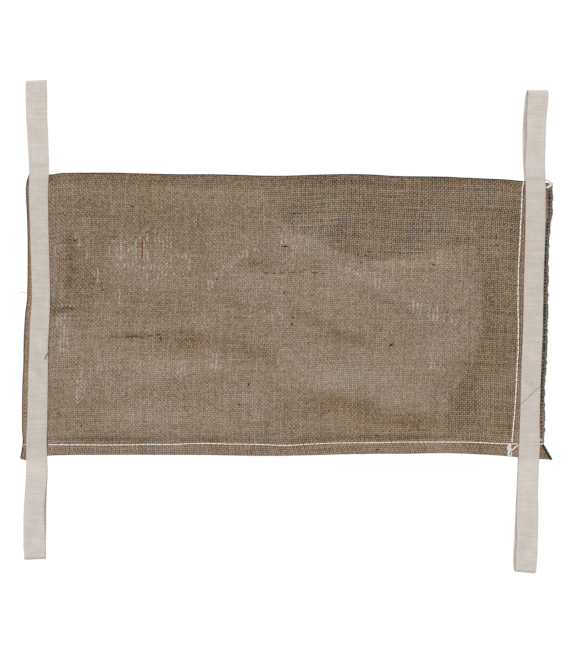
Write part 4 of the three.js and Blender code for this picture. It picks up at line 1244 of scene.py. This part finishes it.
def addHairs(look):
    # fine bent hairs: on the face they lie flat, along the outline they stand out
    count, rim = look["faceHairs"], look["edgeHairs"]
    x, y = dice.uniform(-268, 258, count), dice.uniform(-156, 156, count)
    angle, length = dice.uniform(0, 2 * np.pi, count), dice.uniform(2, 7, count)
    up = dice.uniform(0.05, 0.9, count)
    z = clothTop(x, y)

    sideOf = dice.integers(0, 4, rim)
    place = dice.uniform(0.02, 0.98, rim)
    u = np.select([sideOf == 0, sideOf == 1], [0.0, 1.0], place)
    v = np.select([sideOf == 2, sideOf == 3], [0.0, 1.0], place)
    rimX, rimY = sackPlan(u, v)
    outward = np.select([sideOf == 0, sideOf == 1, sideOf == 2], [np.pi, 0.0, -np.pi / 2], np.pi / 2)
    rimZ = sackLift(u) + dice.uniform(0.4, 2.0, rim)
    x, y, z = np.concatenate([x, rimX]), np.concatenate([y, rimY]), np.concatenate([z, rimZ])
    angle = np.concatenate([angle, outward + dice.normal(0, 0.6, rim)])
    length = np.concatenate([length, dice.uniform(1, 4.5, rim)])
    up = np.concatenate([up, dice.uniform(0, 0.4, rim)])

    share = np.linspace(0, 1, 5)
    bend = angle[:, None] + dice.normal(0, 0.7, len(x))[:, None] * share
    runX = x[:, None] + length[:, None] * share * np.cos(bend)
    runY = y[:, None] + length[:, None] * share * np.sin(bend)
    runZ = z[:, None] + up[:, None] * np.sin(np.pi * 0.8 * share)
    run = np.stack([runX, runY, runZ], axis=-1)
    radius = look["hair"] * (1 - 0.6 * share) + 0 * runX
    addPiece("looseHairs", *tubeRuns(run * mm, radius * mm, 4), juteYarn, "jute")


addSlubs(looseYarns)
addRedYarns(looseYarns)
addStrayFibres(looseYarns)
addHairs(looseYarns)
print("odd yarns laid")


# Floor and light

studio = {
    "floorSize": 24.0,
    "floorGlow": 0.97,  # a lit table, so no shadow shows round the sack
    "ambient": 0.72,
    "sunStrength": 1.9,
    "sunSpread": 60.0,  # degrees across, so shadows stay soft
    "sunFrom": (-0.16, 0.62, 1.0),
}


def makeStudio(look):
    half = look["floorSize"] / 2
    mesh = bpy.data.meshes.new("floor")
    level = -0.3 * mm
    corners = [(-half, -half, level), (half, -half, level), (half, half, level), (-half, half, level)]
    mesh.from_pydata(corners, [], [(0, 1, 2, 3)])
    paper = Finish("whitePaper", roughness=0.9)
    place = paper.node("ShaderNodeTexCoord", out=3)
    grain = paper.node("ShaderNodeTexNoise", None, {"Vector": place, "Scale": 40.0})
    paper.feed("Base Color", paper.mix(grain, (0.04, 0.04, 0.04, 1), (0.06, 0.06, 0.06, 1)))
    paper.surface.inputs["Emission Color"].default_value = (1, 1, 1, 1)
    paper.surface.inputs["Emission Strength"].default_value = look["floorGlow"]
    mesh.materials.append(paper.material)
    floor = bpy.data.objects.new("floor", mesh)
    bpy.context.scene.collection.objects.link(floor)

    sun = bpy.data.lights.new("windowLight", "SUN")
    sun.energy, sun.angle = look["sunStrength"], math.radians(look["sunSpread"])
    lamp = bpy.data.objects.new("windowLight", sun)
    x, y, z = look["sunFrom"]
    lamp.location = look["sunFrom"]
    lamp.rotation_euler = (0, math.atan2(math.hypot(x, y), z), math.atan2(y, x))
    bpy.context.scene.collection.objects.link(lamp)

    world = bpy.data.worlds.new("softRoom")
    world.use_nodes = True
    world.node_tree.nodes["Background"].inputs["Color"].default_value = (1, 1, 1, 1)
    world.node_tree.nodes["Background"].inputs["Strength"].default_value = look["ambient"]
    bpy.context.scene.world = world
    bpy.context.scene.view_settings.view_transform = "Standard"


makeStudio(studio)
print("floor and lights placed")
